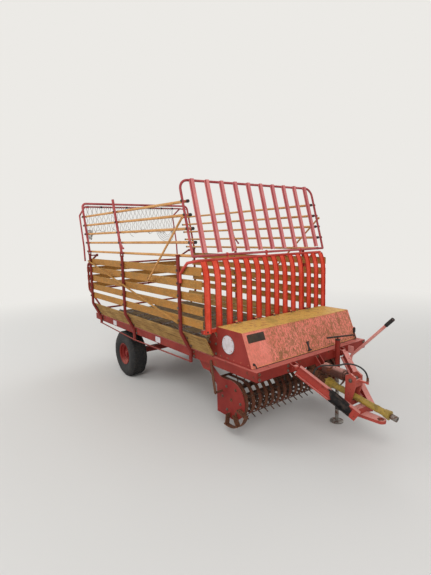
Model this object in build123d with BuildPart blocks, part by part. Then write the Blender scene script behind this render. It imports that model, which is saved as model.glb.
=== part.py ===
"""Self-loading forage wagon with a folding dry-hay extension, in millimetres.

X is forward, Y is left, Z is up, and the ground is Z = 0.
Stations are given as distances ahead of the middle side posts.
"""
import math
import os

from build123d import *

os.makedirs("parts", exist_ok=True)

# Driving dimensions: stations along the wagon, ahead (+) of or behind the middle posts
rear_post_back = 1266
front_post_fwd = 1484
grille_fwd = 1892
extension_fwd = 1811
rotor_fwd = 2150
axle_back = 451
rail_back = 1560
hoop_fwd = 1821
stay_foot_fwd = 892
gate_back = 1742
gate_foot_back = 1500

# Stations of what goes with the feed rotor: floor end, hood, front beam and pickup
floor_front_fwd = rotor_fwd - 436
cross_fwds = (-1200, -830, -axle_back, 0, 480, 960, front_post_fwd, floor_front_fwd - 84)
hood_rear_fwd = grille_fwd + 53
hood_nose_fwd = rotor_fwd + 195
hood_front_fwd = rotor_fwd + 328
beam_fwd = hood_front_fwd + 98
pickup_pin_fwd = rotor_fwd - 470
reel_fwd = rotor_fwd - 70

# Heights of the folding extension, and the rear bow that sets the wagon's rear end
ext_pin_z = 1940
pipe_pitch = 145
pipe_count = 4
top_pipe_z = ext_pin_z + pipe_count * pipe_pitch
hoop_rise = 215
bow_drop = 60
rear_top_z = top_pipe_z + hoop_rise
bow_pin_z = rear_top_z - bow_drop
bow_r = 14
bow_bend = 22
bow_bends = [(-1600, 18), (-1890, -115), (-1775, -659), (-1765, -915)]

# Places ahead of the front beam, and the drive shaft that sets the wagon's front end
arm_pin_ahead = 39
barrel_pin_ahead = 64
fork_pin_ahead = 108
shaft_ahead = 904
fork_pin_z = 590
shaft_tip_z = 440
yoke_r = 27
shaft_dip = math.atan2(fork_pin_z - shaft_tip_z, shaft_ahead - fork_pin_ahead)


def rearmost(before, corner, after, bend, r):
    """How far ahead the rear of a round tube lies where it bends; points are (x, z)."""
    come = (Vector(*corner) - Vector(*before)).normalized()
    leave = (Vector(*after) - Vector(*corner)).normalized()
    inward = (leave - come).normalized() * bend / math.cos(math.radians(come.get_angle(leave) / 2))
    return corner[0] + inward.X - bend - r


rear_reach = -rearmost(*bow_bends[:3], bow_bend, bow_r)
front_reach = beam_fwd + shaft_ahead + yoke_r * math.sin(shaft_dip)
mid_x = (rear_reach - front_reach) / 2

rear_post_x = mid_x - rear_post_back
front_post_x = mid_x + front_post_fwd
post_xs = (rear_post_x, mid_x, front_post_x)
grille_x = mid_x + grille_fwd
ext_x = mid_x + extension_fwd
beam_x = mid_x + beam_fwd
axle_x = mid_x - axle_back

# Running gear
tyre_r = 355
tyre_w = 264
track = 1566
rim_r = 152
hub_half = 70
spindle_r = 22
fit = 0.05
seat = 0.3

# Chassis
rail_top = 852
rail_h = 102
rail_w = 80
rail_outer = 895
rail_bottom = rail_top - rail_h
rail_y = rail_outer - rail_w / 2
rail_rear_x = mid_x - rail_back
beam_w = 90
cross_h = 40
cross_w = 60
bearer_gap = 31
bearer_y = track / 2 - tyre_w / 2 - bearer_gap
bearer_w = 50
edge_r = 8

# Body sides
side_y = 1040
post_r = 21
bend_z = 1076
knee_z = 829
hinge_z = 1908
foot_y = rail_outer + seat + post_r
slat_h = 95
slat_pitch = 141
slat_depth = 16
slat_t = 3
slat_count = 5
slat_top = 1824
slat_front_x = grille_x + slat_t
slat_rear_x = rear_post_x - 34
slat_y = side_y - post_r - seat

# Folding extension
lean = 15
frame_rise = 225
ext_height = pipe_count * pipe_pitch + frame_rise
ext_tube_r = 14
ext_half = side_y + 20
pipe_r = 16
pipe_y = side_y - post_r - 6 - pipe_r
lean_x = math.tan(math.radians(lean))


def lean_point(x, z):
    """Where a leaning member that is pinned at x stands at height z."""
    return x - (z - ext_pin_z) * lean_x


def tube(points, r, bend=60):
    """Sweep a round bar along the points into the part that is being built."""
    with BuildLine() as run:
        if len(points) > 2:
            FilletPolyline(*points, radius=bend)
        else:
            Line(*points)
    with BuildSketch(Plane(run.line @ 0, z_dir=run.line % 0)) as ring:
        Circle(r)
    sweep(sections=ring.sketch, path=run.line)


def side(y):
    """An upright plane along the wagon at y, where a sketch reads (x, z)."""
    return Plane(origin=(0, y, 0), x_dir=(1, 0, 0), z_dir=(0, -1, 0))


def across(x):
    """An upright plane across the wagon at x, where a sketch reads (y, z)."""
    return Plane(origin=(x, 0, 0), x_dir=(0, 1, 0), z_dir=(1, 0, 0))


# Chassis: box rails and the front beam, with cross members that lie on two bearers
cross_xs = [mid_x + d for d in cross_fwds]
between_rails = rail_outer - rail_w - seat
with BuildPart() as chassis_frame:
    rail_len = beam_x - rail_rear_x
    with BuildSketch(Plane.XY.offset(rail_bottom)):
        with Locations(*[(rail_rear_x + rail_len / 2, s * rail_y) for s in (1, -1)]):
            Rectangle(rail_len, rail_w)
        with Locations((beam_x - beam_w / 2, 0)):
            Rectangle(beam_w, 2 * rail_outer)
    extrude(amount=rail_h)
    fillet(chassis_frame.edges().filter_by(Axis.X), edge_r)
chassis_frame.part.label = "chassis_frame"
export_step(chassis_frame.part, "parts/chassis_frame.step")

with BuildPart() as cross_members:
    with BuildSketch(Plane.XY.offset(rail_top - cross_h)):
        with Locations(*[(x, 0) for x in cross_xs]):
            Rectangle(cross_w, 2 * between_rails)
    extrude(amount=cross_h)
cross_members.part.label = "cross_members"
export_step(cross_members.part, "parts/cross_members.step")

with BuildPart() as floor_bearers:
    bearer_len = cross_xs[-1] - cross_xs[0]
    with BuildSketch(Plane.XY.offset(rail_bottom)):
        with Locations(*[(cross_xs[0] + bearer_len / 2, s * bearer_y) for s in (1, -1)]):
            Rectangle(bearer_len + cross_w, bearer_w)
    extrude(amount=rail_h - cross_h - seat)
floor_bearers.part.label = "floor_bearers"
export_step(floor_bearers.part, "parts/floor_bearers.step")


# Axle: square beam, spindles and the brackets that hold it under the bearers
axle_w = 80
axle_half = track / 2 - hub_half - 6
bracket_w = 240
bracket_t = 12
with BuildPart() as axle:
    with Locations((axle_x, 0, tyre_r)):
        Box(axle_w, 2 * axle_half, axle_w)
    with BuildSketch(side(0)):
        with Locations((axle_x, tyre_r)):
            Circle(spindle_r)
    extrude(amount=track / 2 + hub_half - 4, both=True)
    for s in (1, -1):
        with BuildSketch(side(s * bearer_y)):
            with BuildLine():
                Polyline(
                    (axle_x - axle_w / 2, tyre_r),
                    (axle_x + axle_w / 2, tyre_r),
                    (axle_x + bracket_w / 2, rail_bottom),
                    (axle_x - bracket_w / 2, rail_bottom),
                    close=True,
                )
            make_face()
        extrude(amount=bracket_t / 2, both=True)
axle.part.label = "axle"
export_step(axle.part, "parts/axle.step")

# Wheels: dished rim with its hub, and the tyre on it
rim_w = 232
rim_flange_r = 166
well_r = 128
rim_t = 6
disc_t = 8
hub_r = 48
ledge_y = 84
ledge_end = 104
well_y = 60
dish_y = 20
dish_rise = 20
nut_ring_r = 82
nut_r = 14
nut_half = 14
cap_r = 36
rim_half = rim_w / 2
hub_neck = hub_half - rim_t
disc_in = well_r - disc_t
barrel_in = rim_r - rim_t
rim_section = [
    (hub_r - 2, -hub_neck), (hub_r - 2, dish_y), (disc_in, dish_y + dish_rise), (disc_in, well_y),
    (barrel_in, ledge_y), (barrel_in, ledge_end), (rim_flange_r - 4, rim_half), (rim_flange_r, rim_half - 3),
    (rim_r, ledge_end), (rim_r, ledge_y), (well_r, well_y), (well_r, -well_y), (rim_r, -ledge_y),
    (rim_r, -ledge_end), (rim_flange_r, 3 - rim_half), (rim_flange_r - 4, -rim_half), (barrel_in, -ledge_end),
    (barrel_in, -ledge_y), (disc_in, -well_y), (disc_in, dish_y + dish_rise - disc_t),
    (hub_r + dish_rise, dish_y - disc_t - 2), (hub_r + dish_rise, -hub_neck),
]

tread_half = 86
shoulder_half = 124
shoulder_r = tyre_r - 36
bead_half = ledge_end - 6
bead_w = 12
air_half = 78
air_r = rim_r + 30
wall_r = rim_flange_r + 4
wall_half = 108
for label, s in (("left", 1), ("right", -1)):
    wheel_y = s * track / 2
    wheel_plane = Plane(origin=(axle_x, wheel_y, tyre_r), x_dir=(1, 0, 0), z_dir=(0, 0, 1))
    wheel_axis = Axis((axle_x, wheel_y, tyre_r), (0, 1, 0))
    with BuildPart() as rim:
        with BuildSketch(wheel_plane):
            with BuildLine():
                Polyline(*[(r, s * y) for r, y in rim_section], close=True)
            make_face()
        revolve(axis=wheel_axis)
        with BuildSketch(side(wheel_y)):
            with Locations((axle_x, tyre_r)):
                Circle(hub_r)
                Circle(spindle_r + fit, mode=Mode.SUBTRACT)
        extrude(amount=hub_half, both=True)
        with BuildSketch(side(wheel_y + s * (hub_half + 5))):
            with Locations((axle_x, tyre_r)):
                Circle(cap_r)
        extrude(amount=6, both=True)
        with BuildSketch(side(wheel_y + s * (dish_y + 12))):
            with Locations((axle_x, tyre_r)):
                with PolarLocations(nut_ring_r, 5, start_angle=90):
                    RegularPolygon(nut_r, 6)
        extrude(amount=nut_half, both=True)
    rim.part.label = "rim_" + label
    export_step(rim.part, f"parts/rim_{label}.step")

    with BuildPart() as tyre:
        with BuildSketch(wheel_plane):
            with BuildLine():
                Polyline((shoulder_r, shoulder_half), (tyre_r, tread_half), (tyre_r, -tread_half),
                         (shoulder_r, -shoulder_half))
                ThreePointArc((shoulder_r, -shoulder_half), ((shoulder_r + wall_r) / 2, -tyre_w / 2),
                              (wall_r, -wall_half))
                Polyline(
                    (wall_r, -wall_half), (rim_r + seat, -bead_half), (rim_r + seat, bead_w - bead_half),
                    (air_r, -air_half), (air_r, air_half), (rim_r + seat, bead_half - bead_w),
                    (rim_r + seat, bead_half), (wall_r, wall_half),
                )
                ThreePointArc((wall_r, wall_half), ((shoulder_r + wall_r) / 2, tyre_w / 2),
                              (shoulder_r, shoulder_half))
            make_face()
        revolve(axis=wheel_axis)
    tyre.part.label = "tyre_" + label
    export_step(tyre.part, f"parts/tyre_{label}.step")

# Load floor: grooved planks on the cross members
floor_t = 25
floor_half = 850
floor_top = rail_top + floor_t
floor_rear_x = rear_post_x - 40
floor_front_x = mid_x + floor_front_fwd
plank_pitch = 170
with BuildPart() as load_floor:
    with BuildSketch(Plane.XY.offset(rail_top)):
        with Locations(((floor_rear_x + floor_front_x) / 2, 0)):
            Rectangle(floor_front_x - floor_rear_x, 2 * floor_half)
    extrude(amount=floor_t)
    grooves = round(floor_half / plank_pitch)
    with Locations(*[
        (mid_x, n * plank_pitch, floor_top) for n in range(-grooves + 1, grooves)
    ]):
        Box(2 * (floor_front_x - floor_rear_x), 5, 12, mode=Mode.SUBTRACT)
load_floor.part.label = "load_floor"
export_step(load_floor.part, "parts/load_floor.step")

# Scraper floor: four chains with cross slats, run round two shafts
chain_ys = (200, 520)
chain_w = 12
chain_h = 10
loop_top = floor_top + seat + chain_h
loop_bottom = rail_bottom - 30
loop_r = (loop_top - loop_bottom) / 2
loop_z = (loop_top + loop_bottom) / 2
loop_end = loop_r - chain_h + 2
loop_rear_x = floor_rear_x - loop_end
loop_front_x = floor_front_x + loop_end
loop_mid_x = (loop_rear_x + loop_front_x) / 2
flight_w = 34
flight_h = 16
flight_pitch = 420
flight_n = int((floor_front_x - floor_rear_x) / flight_pitch)
for label, s in (("left", 1), ("right", -1)):
    with BuildPart() as scraper:
        for chain_y in chain_ys:
            with BuildSketch(side(s * chain_y)):
                with Locations((loop_mid_x, loop_z)):
                    SlotCenterToCenter(loop_front_x - loop_rear_x, 2 * loop_r)
                    SlotCenterToCenter(loop_front_x - loop_rear_x, 2 * (loop_r - chain_h), mode=Mode.SUBTRACT)
            extrude(amount=chain_w / 2, both=True)
        flight_y = (chain_ys[0] + chain_ys[1]) / 2
        flight_len = chain_ys[1] - chain_ys[0] + 130
        for n in range(flight_n):
            top_x = floor_rear_x + flight_pitch * (n + 0.6)
            with Locations((top_x, s * flight_y, floor_top + seat + flight_h / 2)):
                Box(flight_w, flight_len, flight_h)
            low_x = floor_front_x - flight_pitch * (n + 0.5)
            with Locations((low_x, s * flight_y, loop_bottom + flight_h / 2)):
                Box(flight_w, flight_len, flight_h)
    scraper.part.label = "scraper_chains_" + label
    export_step(scraper.part, f"parts/scraper_chains_{label}.step")

shaft_r = 20
sprocket_t = 10
with BuildPart() as floor_shafts:
    for x in (loop_rear_x, loop_front_x):
        with BuildSketch(side(0)):
            with Locations((x, loop_z)):
                Circle(shaft_r)
        extrude(amount=between_rails, both=True)
        for s in (1, -1):
            for chain_y in chain_ys:
                with BuildSketch(side(s * chain_y)):
                    with Locations((x, loop_z)):
                        Circle(loop_r - chain_h - seat)
                extrude(amount=sprocket_t / 2, both=True)
floor_shafts.part.label = "floor_shafts"
export_step(floor_shafts.part, "parts/floor_shafts.step")

# Side posts: bent tubes from the rails up to the extension's hinges, tied by a truss rod
foot_zs = (720, 667, 700)
top_zs = (hinge_z, hinge_z, ext_pin_z + 12)
ear_r = 20
ear_t = 6
ear_gap = 14
ear_pin_r = 8
gate_y = 920
gate_r = 16
gate_pin_r = 10
gate_pin_z = 1878
truss_r = 9
truss_out = 9
slope = math.atan2(bend_z - knee_z, side_y - foot_y)
for label, s in (("left", 1), ("right", -1)):
    with BuildPart() as posts:
        for x, foot_z, top_z in zip(post_xs, foot_zs, top_zs):
            tube(
                [(x, s * side_y, top_z), (x, s * side_y, bend_z),
                 (x, s * foot_y, knee_z), (x, s * foot_y, foot_z)],
                post_r, 90,
            )
        for x in (rear_post_x, mid_x):
            for ear_y in (side_y + ear_gap + ear_t / 2, side_y - ear_gap - ear_t / 2):
                with BuildSketch(side(s * ear_y)):
                    with Locations((x, ext_pin_z)):
                        Circle(ear_r)
                    with Locations((x, (hinge_z + ext_pin_z) / 2 - 10)):
                        Rectangle(2 * ear_r, ext_pin_z - hinge_z + 20)
                extrude(amount=ear_t / 2, both=True)
        for x in (rear_post_x, mid_x, front_post_x):
            pin_out = side_y + ear_gap + ear_t + 6
            pin_in = pipe_y + pipe_r + seat
            with BuildSketch(side(s * (pin_out + pin_in) / 2)):
                with Locations((x, ext_pin_z)):
                    Circle(ear_pin_r)
            extrude(amount=(pin_out - pin_in) / 2, both=True)
        with BuildSketch(side(s * (side_y + gate_y - gate_r) / 2)):
            with Locations((rear_post_x, gate_pin_z)):
                Circle(gate_pin_r)
        extrude(amount=(side_y - gate_y + gate_r) / 2, both=True)
        rod = [(x, s * (foot_y + truss_out), z + truss_r) for x, z in zip(post_xs, foot_zs)]
        tube([rod[0], rod[1]], truss_r)
        tube([rod[1], rod[2]], truss_r)
    posts.part.label = "side_posts_" + label
    export_step(posts.part, f"parts/side_posts_{label}.step")

# Side slats: pressed channels between the posts and the grille
slat_mid_x = (slat_front_x + slat_rear_x) / 2
slat_tops = [slat_top - n * slat_pitch for n in range(slat_count)]


for label, s in (("left", 1), ("right", -1)):
    with BuildPart() as slats:
        for z in slat_tops:
            with BuildSketch(across(slat_rear_x)):
                with BuildLine():
                    y0 = s * slat_y
                    y1 = s * (slat_y - slat_depth)
                    yt = s * (slat_y - slat_t)
                    Polyline(
                        (y1, z), (y0, z - 6), (y0, z - slat_h + 6), (y1, z - slat_h),
                        (y1, z - slat_h + slat_t), (yt, z - slat_h + slat_t + 6),
                        (yt, z - slat_t - 6), (y1, z - slat_t),
                        close=True,
                    )
                make_face()
            extrude(amount=slat_front_x - slat_rear_x)
    slats.part.label = "side_slats_" + label
    export_step(slats.part, f"parts/side_slats_{label}.step")

# Lower side boards: two lapped boards that lean in to the floor, with rolled top edges
board_t = 18
board_w = 104
board_gap = 5
board_start = 14
board_rear_x = rear_post_x - 150
board_front_x = grille_x + 20
board_inset = post_r + seat + board_t / 2
out = (math.cos(slope), math.sin(slope))
board_foot = (
    foot_y - board_inset * math.sin(slope) + 24 * out[0],
    knee_z + board_inset * math.cos(slope) + 24 * out[1],
)
for label, s in (("left", 1), ("right", -1)):
    with BuildPart() as boards:
        for n in range(2):
            run = board_start + board_w / 2 + n * (board_w + board_gap)
            centre = (board_foot[0] + run * out[0], board_foot[1] + run * out[1])
            with BuildSketch(across(board_rear_x)):
                with Locations(Location((s * centre[0], centre[1]), s * math.degrees(slope))):
                    Rectangle(board_w, board_t)
            extrude(amount=board_front_x - board_rear_x)
    boards.part.label = "side_boards_" + label
    export_step(boards.part, f"parts/side_boards_{label}.step")

# Side braces: a diagonal rod outside the posts, and the hook that holds the stay's foot
brace_r = 12
brace_y = side_y + post_r + seat + brace_r
brace_rear_z = 1790
brace_front_z = 1187
stay_r = 12
stay_y = brace_y + brace_r + 7 + stay_r
stay_foot_x = mid_x + stay_foot_fwd
stay_foot_z = 1640
hook_t = 12
with BuildPart() as side_braces:
    for s in (1, -1):
        tube([(rear_post_x, s * brace_y, brace_rear_z), (front_post_x, s * brace_y, brace_front_z)], brace_r)
        hook_out = stay_y + stay_r
        with Locations((
            stay_foot_x - 6, s * (slat_y + seat + hook_out) / 2, stay_foot_z - stay_r - seat - 4 - hook_t / 2
        )):
            Box(26, hook_out - slat_y - seat, hook_t)
        with Locations((stay_foot_x - 6, s * (slat_y + seat + 3), stay_foot_z - 20)):
            Box(40, 6, 50)
side_braces.part.label = "side_braces"
export_step(side_braces.part, "parts/side_braces.step")

# Front grille: hoop tube and ribbed slats that curve back at the top
grille_top_z = 1892
hoop_r = 16
hoop_x = mid_x + hoop_fwd
hoop_half = 1000
hoop_start_x = front_post_x + post_r + seat + hoop_r
hoop_start_z = 1640
grille_foot_z = 1110
grille_bend_z = 1640
grille_slats = 14
grille_pitch = 147
grille_slat_w = 80
grille_slat_d = 24
grille_t = 4
foot_bar = 40
lug_ys = (-600, 0, 600)
lug_t = 12
grille_ys = [(n - (grille_slats - 1) / 2) * grille_pitch for n in range(grille_slats)]
with BuildPart() as front_hoop:
    hoop_side = [
        (hoop_start_x, side_y, hoop_start_z), (hoop_start_x, side_y, grille_top_z - 150),
        (hoop_start_x + 150, side_y, grille_top_z - 26), (hoop_x, hoop_half, grille_top_z),
    ]
    tube([(x, -y, z) for x, y, z in hoop_side] + hoop_side[::-1], hoop_r, 28)
    for y in lug_ys:
        with BuildSketch(side(y)):
            with Locations((ext_x, ext_pin_z)):
                Circle(ext_tube_r + 9)
            with Locations(((ext_x + hoop_x) / 2, (ext_pin_z + grille_top_z) / 2)):
                Rectangle(24, ext_pin_z - grille_top_z)
            with Locations((ext_x, ext_pin_z)):
                Circle(ext_tube_r + fit, mode=Mode.SUBTRACT)
        extrude(amount=lug_t / 2, both=True)
front_hoop.part.label = "front_hoop"
export_step(front_hoop.part, "parts/front_hoop.step")

slat_back_x = grille_x - grille_slat_d / 2
slat_end_x = hoop_x + (hoop_r + seat + grille_slat_d / 2) * 1.03
with BuildPart() as front_grille:
    for y in grille_ys:
        with BuildLine() as slat_path:
            Line((slat_back_x, y, grille_foot_z), (slat_back_x, y, grille_bend_z))
            TangentArc((slat_back_x, y, grille_bend_z), (slat_end_x, y, grille_top_z + 6), tangent=(0, 0, 1))
        with BuildSketch(Plane.XY.offset(grille_foot_z)) as slat_section:
            with Locations((slat_back_x, y)):
                Rectangle(grille_slat_d, grille_slat_w)
            with Locations((slat_back_x - grille_t, y)):
                Rectangle(grille_slat_d, grille_slat_w - 2 * grille_t, mode=Mode.SUBTRACT)
        sweep(sections=slat_section.sketch, path=slat_path.line)
front_grille.part.label = "front_grille"
export_step(front_grille.part, "parts/front_grille.step")

# Folding extension, front frame: leaning hoop of round tube with upright slats
lean_rad = math.radians(lean)
lean_up = (-math.sin(lean_rad), 0, math.cos(lean_rad))
lean_out = (math.cos(lean_rad), 0, math.sin(lean_rad))
ext_slats = 10
ext_slat_pitch = 202
ext_slat_w = 70
ext_slat_t = 18
pipe_zs = [ext_pin_z + (n + 1) * pipe_pitch for n in range(pipe_count)]
pipe_pin_r = 7
stay_top_z = 2345


def leaning_plane(x):
    """The extension's leaning plane through the pin at x: a sketch reads (y, height)."""
    return Plane(origin=(x, 0, ext_pin_z), x_dir=(0, 1, 0), z_dir=lean_out)


def cross_pin(x, z, y_from, y_to, r):
    """A round pin along Y into the part that is being built."""
    with BuildSketch(side((y_from + y_to) / 2)) as pin_face:
        with Locations((x, z)):
            Circle(r)
    extrude(pin_face.sketch, amount=abs(y_to - y_from) / 2, both=True)


with BuildPart() as ext_front_frame:
    top_z = ext_pin_z + ext_height
    tube([(ext_x, -ext_half, ext_pin_z), (ext_x, ext_half, ext_pin_z)], ext_tube_r)
    tube(
        [(ext_x, -ext_half, ext_pin_z), (lean_point(ext_x, top_z), -ext_half, top_z),
         (lean_point(ext_x, top_z), ext_half, top_z), (ext_x, ext_half, ext_pin_z)],
        ext_tube_r, 110,
    )
    for s in (1, -1):
        for z in pipe_zs:
            cross_pin(lean_point(ext_x, z), z, s * ext_half, s * (pipe_y - pipe_r - 4), pipe_pin_r)
        cross_pin(lean_point(ext_x, stay_top_z), stay_top_z, s * ext_half, s * (stay_y + stay_r + 3), 5)
ext_front_frame.part.label = "ext_front_frame"
export_step(ext_front_frame.part, "parts/ext_front_frame.step")

with BuildPart() as ext_front_slats:
    slat_rise = ext_height / math.cos(lean_rad)
    with BuildSketch(leaning_plane(ext_x).offset(ext_tube_r + seat)):
        for n in range(ext_slats):
            y = (n - (ext_slats - 1) / 2) * ext_slat_pitch
            with Locations((y, (slat_rise + 12 + 24) / 2)):
                Rectangle(ext_slat_w, slat_rise + 12 - 24)
    extrude(amount=ext_slat_t)
ext_front_slats.part.label = "ext_front_slats"
export_step(ext_front_slats.part, "parts/ext_front_slats.step")

# Folding extension, middle posts and rear hoop, each on a pin between the lower posts' ears
ext_post_r = 18
post_rise = 170
post_top_z = top_pipe_z + post_rise


def tongue(x, s):
    """The pinned lower end of a leaning post."""
    with BuildSketch(side(s * side_y)) as tongue_face:
        with Locations((x, ext_pin_z)):
            Circle(15)
        with BuildLine():
            Polyline(
                (x - 15 * lean_up[2], ext_pin_z + 15 * lean_up[0]),
                (x + 15 * lean_up[2], ext_pin_z - 15 * lean_up[0]),
                (x + 15 * lean_up[2] + 40 * lean_up[0], ext_pin_z - 15 * lean_up[0] + 40 * lean_up[2]),
                (x - 15 * lean_up[2] + 40 * lean_up[0], ext_pin_z + 15 * lean_up[0] + 40 * lean_up[2]),
                close=True,
            )
        make_face()
        with Locations((x, ext_pin_z)):
            Circle(ear_pin_r + fit, mode=Mode.SUBTRACT)
    extrude(tongue_face.sketch, amount=ear_gap - 1, both=True)


def post_start(x, s):
    """Where the round tube of a leaning post begins, above its ears."""
    rise = ear_r + 8
    return (x + rise * lean_up[0], s * side_y, ext_pin_z + rise * lean_up[2])


with BuildPart() as ext_mid_posts:
    for s in (1, -1):
        tongue(mid_x, s)
        tube([post_start(mid_x, s), (lean_point(mid_x, post_top_z), s * side_y, post_top_z)], ext_post_r)
        for z in pipe_zs:
            cross_pin(lean_point(mid_x, z), z, s * side_y, s * (pipe_y - pipe_r - 4), pipe_pin_r)
ext_mid_posts.part.label = "ext_mid_posts"
export_step(ext_mid_posts.part, "parts/ext_mid_posts.step")

rear_top_x = lean_point(rear_post_x, rear_top_z)
bow_y = pipe_y - pipe_r - 4 - 8 - bow_r
bow_pin_r = 8
bow_pin_x = lean_point(rear_post_x, bow_pin_z)
with BuildPart() as ext_rear_hoop:
    for s in (1, -1):
        tongue(rear_post_x, s)
        for z in pipe_zs:
            cross_pin(lean_point(rear_post_x, z), z, s * side_y, s * (pipe_y - pipe_r - 4), pipe_pin_r)
        cross_pin(bow_pin_x, bow_pin_z, s * side_y, s * (bow_y - bow_r - 3), bow_pin_r)
    tube(
        [post_start(rear_post_x, -1), (rear_top_x, -side_y, rear_top_z),
         (rear_top_x, side_y, rear_top_z), post_start(rear_post_x, 1)],
        ext_post_r, 70,
    )
ext_rear_hoop.part.label = "ext_rear_hoop"
export_step(ext_rear_hoop.part, "parts/ext_rear_hoop.step")

# Folding extension, side pipes: one pair for each level, pinned at all three stations
pipe_tail = 200
for n, z in enumerate(pipe_zs):
    with BuildPart() as pipes:
        pins = [lean_point(x, z) for x in (rear_post_x, mid_x, ext_x)]
        for s in (1, -1):
            tube([(pins[0] - pipe_tail, s * pipe_y, z), (pins[2] + 16, s * pipe_y, z)], pipe_r)
        with BuildSketch(side(0)):
            with Locations((pins[2], z)):
                Circle(pipe_pin_r + fit)
            with Locations((pins[0], z), (pins[1], z)):
                Circle(pipe_pin_r + 1)
        extrude(amount=side_y + 100, both=True, mode=Mode.SUBTRACT)
    pipes.part.label = f"ext_pipes_{n + 1}"
    export_step(pipes.part, f"parts/ext_pipes_{n + 1}.step")

with BuildPart() as top_pipes:
    for s in (1, -1):
        tube(
            [(rear_post_x - pipe_tail, s * pipe_y, ext_pin_z),
             (ext_x - ext_tube_r - 8, s * pipe_y, ext_pin_z)], pipe_r,
        )
top_pipes.part.label = "top_pipes"
export_step(top_pipes.part, "parts/top_pipes.step")

# Rear bow: bulging end frame that hangs from the rear hoop
bow_run = [(mid_x + d, bow_pin_z + rise) for d, rise in bow_bends]
with BuildPart() as rear_bow:
    for s in (1, -1):
        with BuildSketch(side(s * bow_y)):
            with Locations((bow_pin_x, bow_pin_z)):
                Circle(bow_pin_r + 8)
                Circle(bow_pin_r + fit, mode=Mode.SUBTRACT)
        extrude(amount=bow_r, both=True)
        tube([(bow_pin_x - 12, s * bow_y, bow_pin_z)] + [(x, s * bow_y, z) for x, z in bow_run], bow_r, bow_bend)
    top_x, top_z = bow_run[0]
    tube([(top_x, -bow_y, top_z), (top_x, bow_y, top_z)], bow_r)
rear_bow.part.label = "rear_bow"
export_step(rear_bow.part, "parts/rear_bow.step")

# Stays: one rod on each side holds the front frame back
with BuildPart() as ext_stays:
    stay_top_x = lean_point(ext_x, stay_top_z)
    for s in (1, -1):
        with BuildSketch(side(s * stay_y)):
            with Locations((stay_top_x, stay_top_z)):
                Circle(stay_r + 4)
                Circle(5 + fit, mode=Mode.SUBTRACT)
        extrude(amount=stay_r - 4, both=True)
        down = Vector(stay_foot_x - stay_top_x, 0, stay_foot_z - stay_top_z).normalized() * (stay_r - 1)
        rod_start = (stay_top_x + down.X, s * stay_y, stay_top_z + down.Z)
        tube([rod_start, (stay_foot_x, s * stay_y, stay_foot_z)], stay_r)
ext_stays.part.label = "ext_stays"
export_step(ext_stays.part, "parts/ext_stays.step")

# Tailgate: bulging tube frame with cross slats, hung from the rear posts
gate_back_x = mid_x - gate_back
gate_foot_x = mid_x - gate_foot_back
gate_foot_z = 930
gate_foot_y = 800
gate_bend_zs = (1700, 1250)
gate_path = [
    (rear_post_x - 14, gate_y, gate_pin_z), (gate_back_x, gate_y, gate_bend_zs[0]),
    (gate_back_x, gate_y, gate_bend_zs[1]), (gate_foot_x, gate_foot_y, gate_foot_z),
]
gate_slat_zs = (1655, 1514, 1373)
with BuildPart() as tailgate:
    for s in (1, -1):
        tube([(x, s * y, z) for x, y, z in gate_path], gate_r, 60)
        with BuildSketch(side(s * gate_y)):
            with Locations((rear_post_x, gate_pin_z)):
                Circle(gate_pin_r + 12)
        extrude(amount=gate_r - 2, both=True)
    tube([(gate_foot_x, -gate_foot_y, gate_foot_z), (gate_foot_x, gate_foot_y, gate_foot_z)], gate_r)
    for z in (gate_bend_zs[0] - 10, gate_bend_zs[1] + 10):
        tube([(gate_back_x, -gate_y, z), (gate_back_x, gate_y, z)], gate_r)
    with BuildSketch(side(0)):
        with Locations((rear_post_x, gate_pin_z)):
            Circle(gate_pin_r + fit)
    extrude(amount=side_y, both=True, mode=Mode.SUBTRACT)
tailgate.part.label = "tailgate"
export_step(tailgate.part, "parts/tailgate.step")

with BuildPart() as tailgate_slats:
    gate_face = gate_back_x - gate_r - seat
    for z in gate_slat_zs:
        with BuildSketch(side(0)):
            with BuildLine():
                Polyline(
                    (gate_face - slat_depth, z - 6), (gate_face, z), (gate_face, z - slat_t),
                    (gate_face - slat_depth + slat_t, z - slat_t - 6),
                    (gate_face - slat_depth + slat_t, z - slat_h + slat_t + 6),
                    (gate_face, z - slat_h + slat_t), (gate_face, z - slat_h),
                    (gate_face - slat_depth, z - slat_h + 6),
                    close=True,
                )
            make_face()
        extrude(amount=gate_y + 10, both=True)
tailgate_slats.part.label = "tailgate_slats"
export_step(tailgate_slats.part, "parts/tailgate_slats.step")

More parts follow.
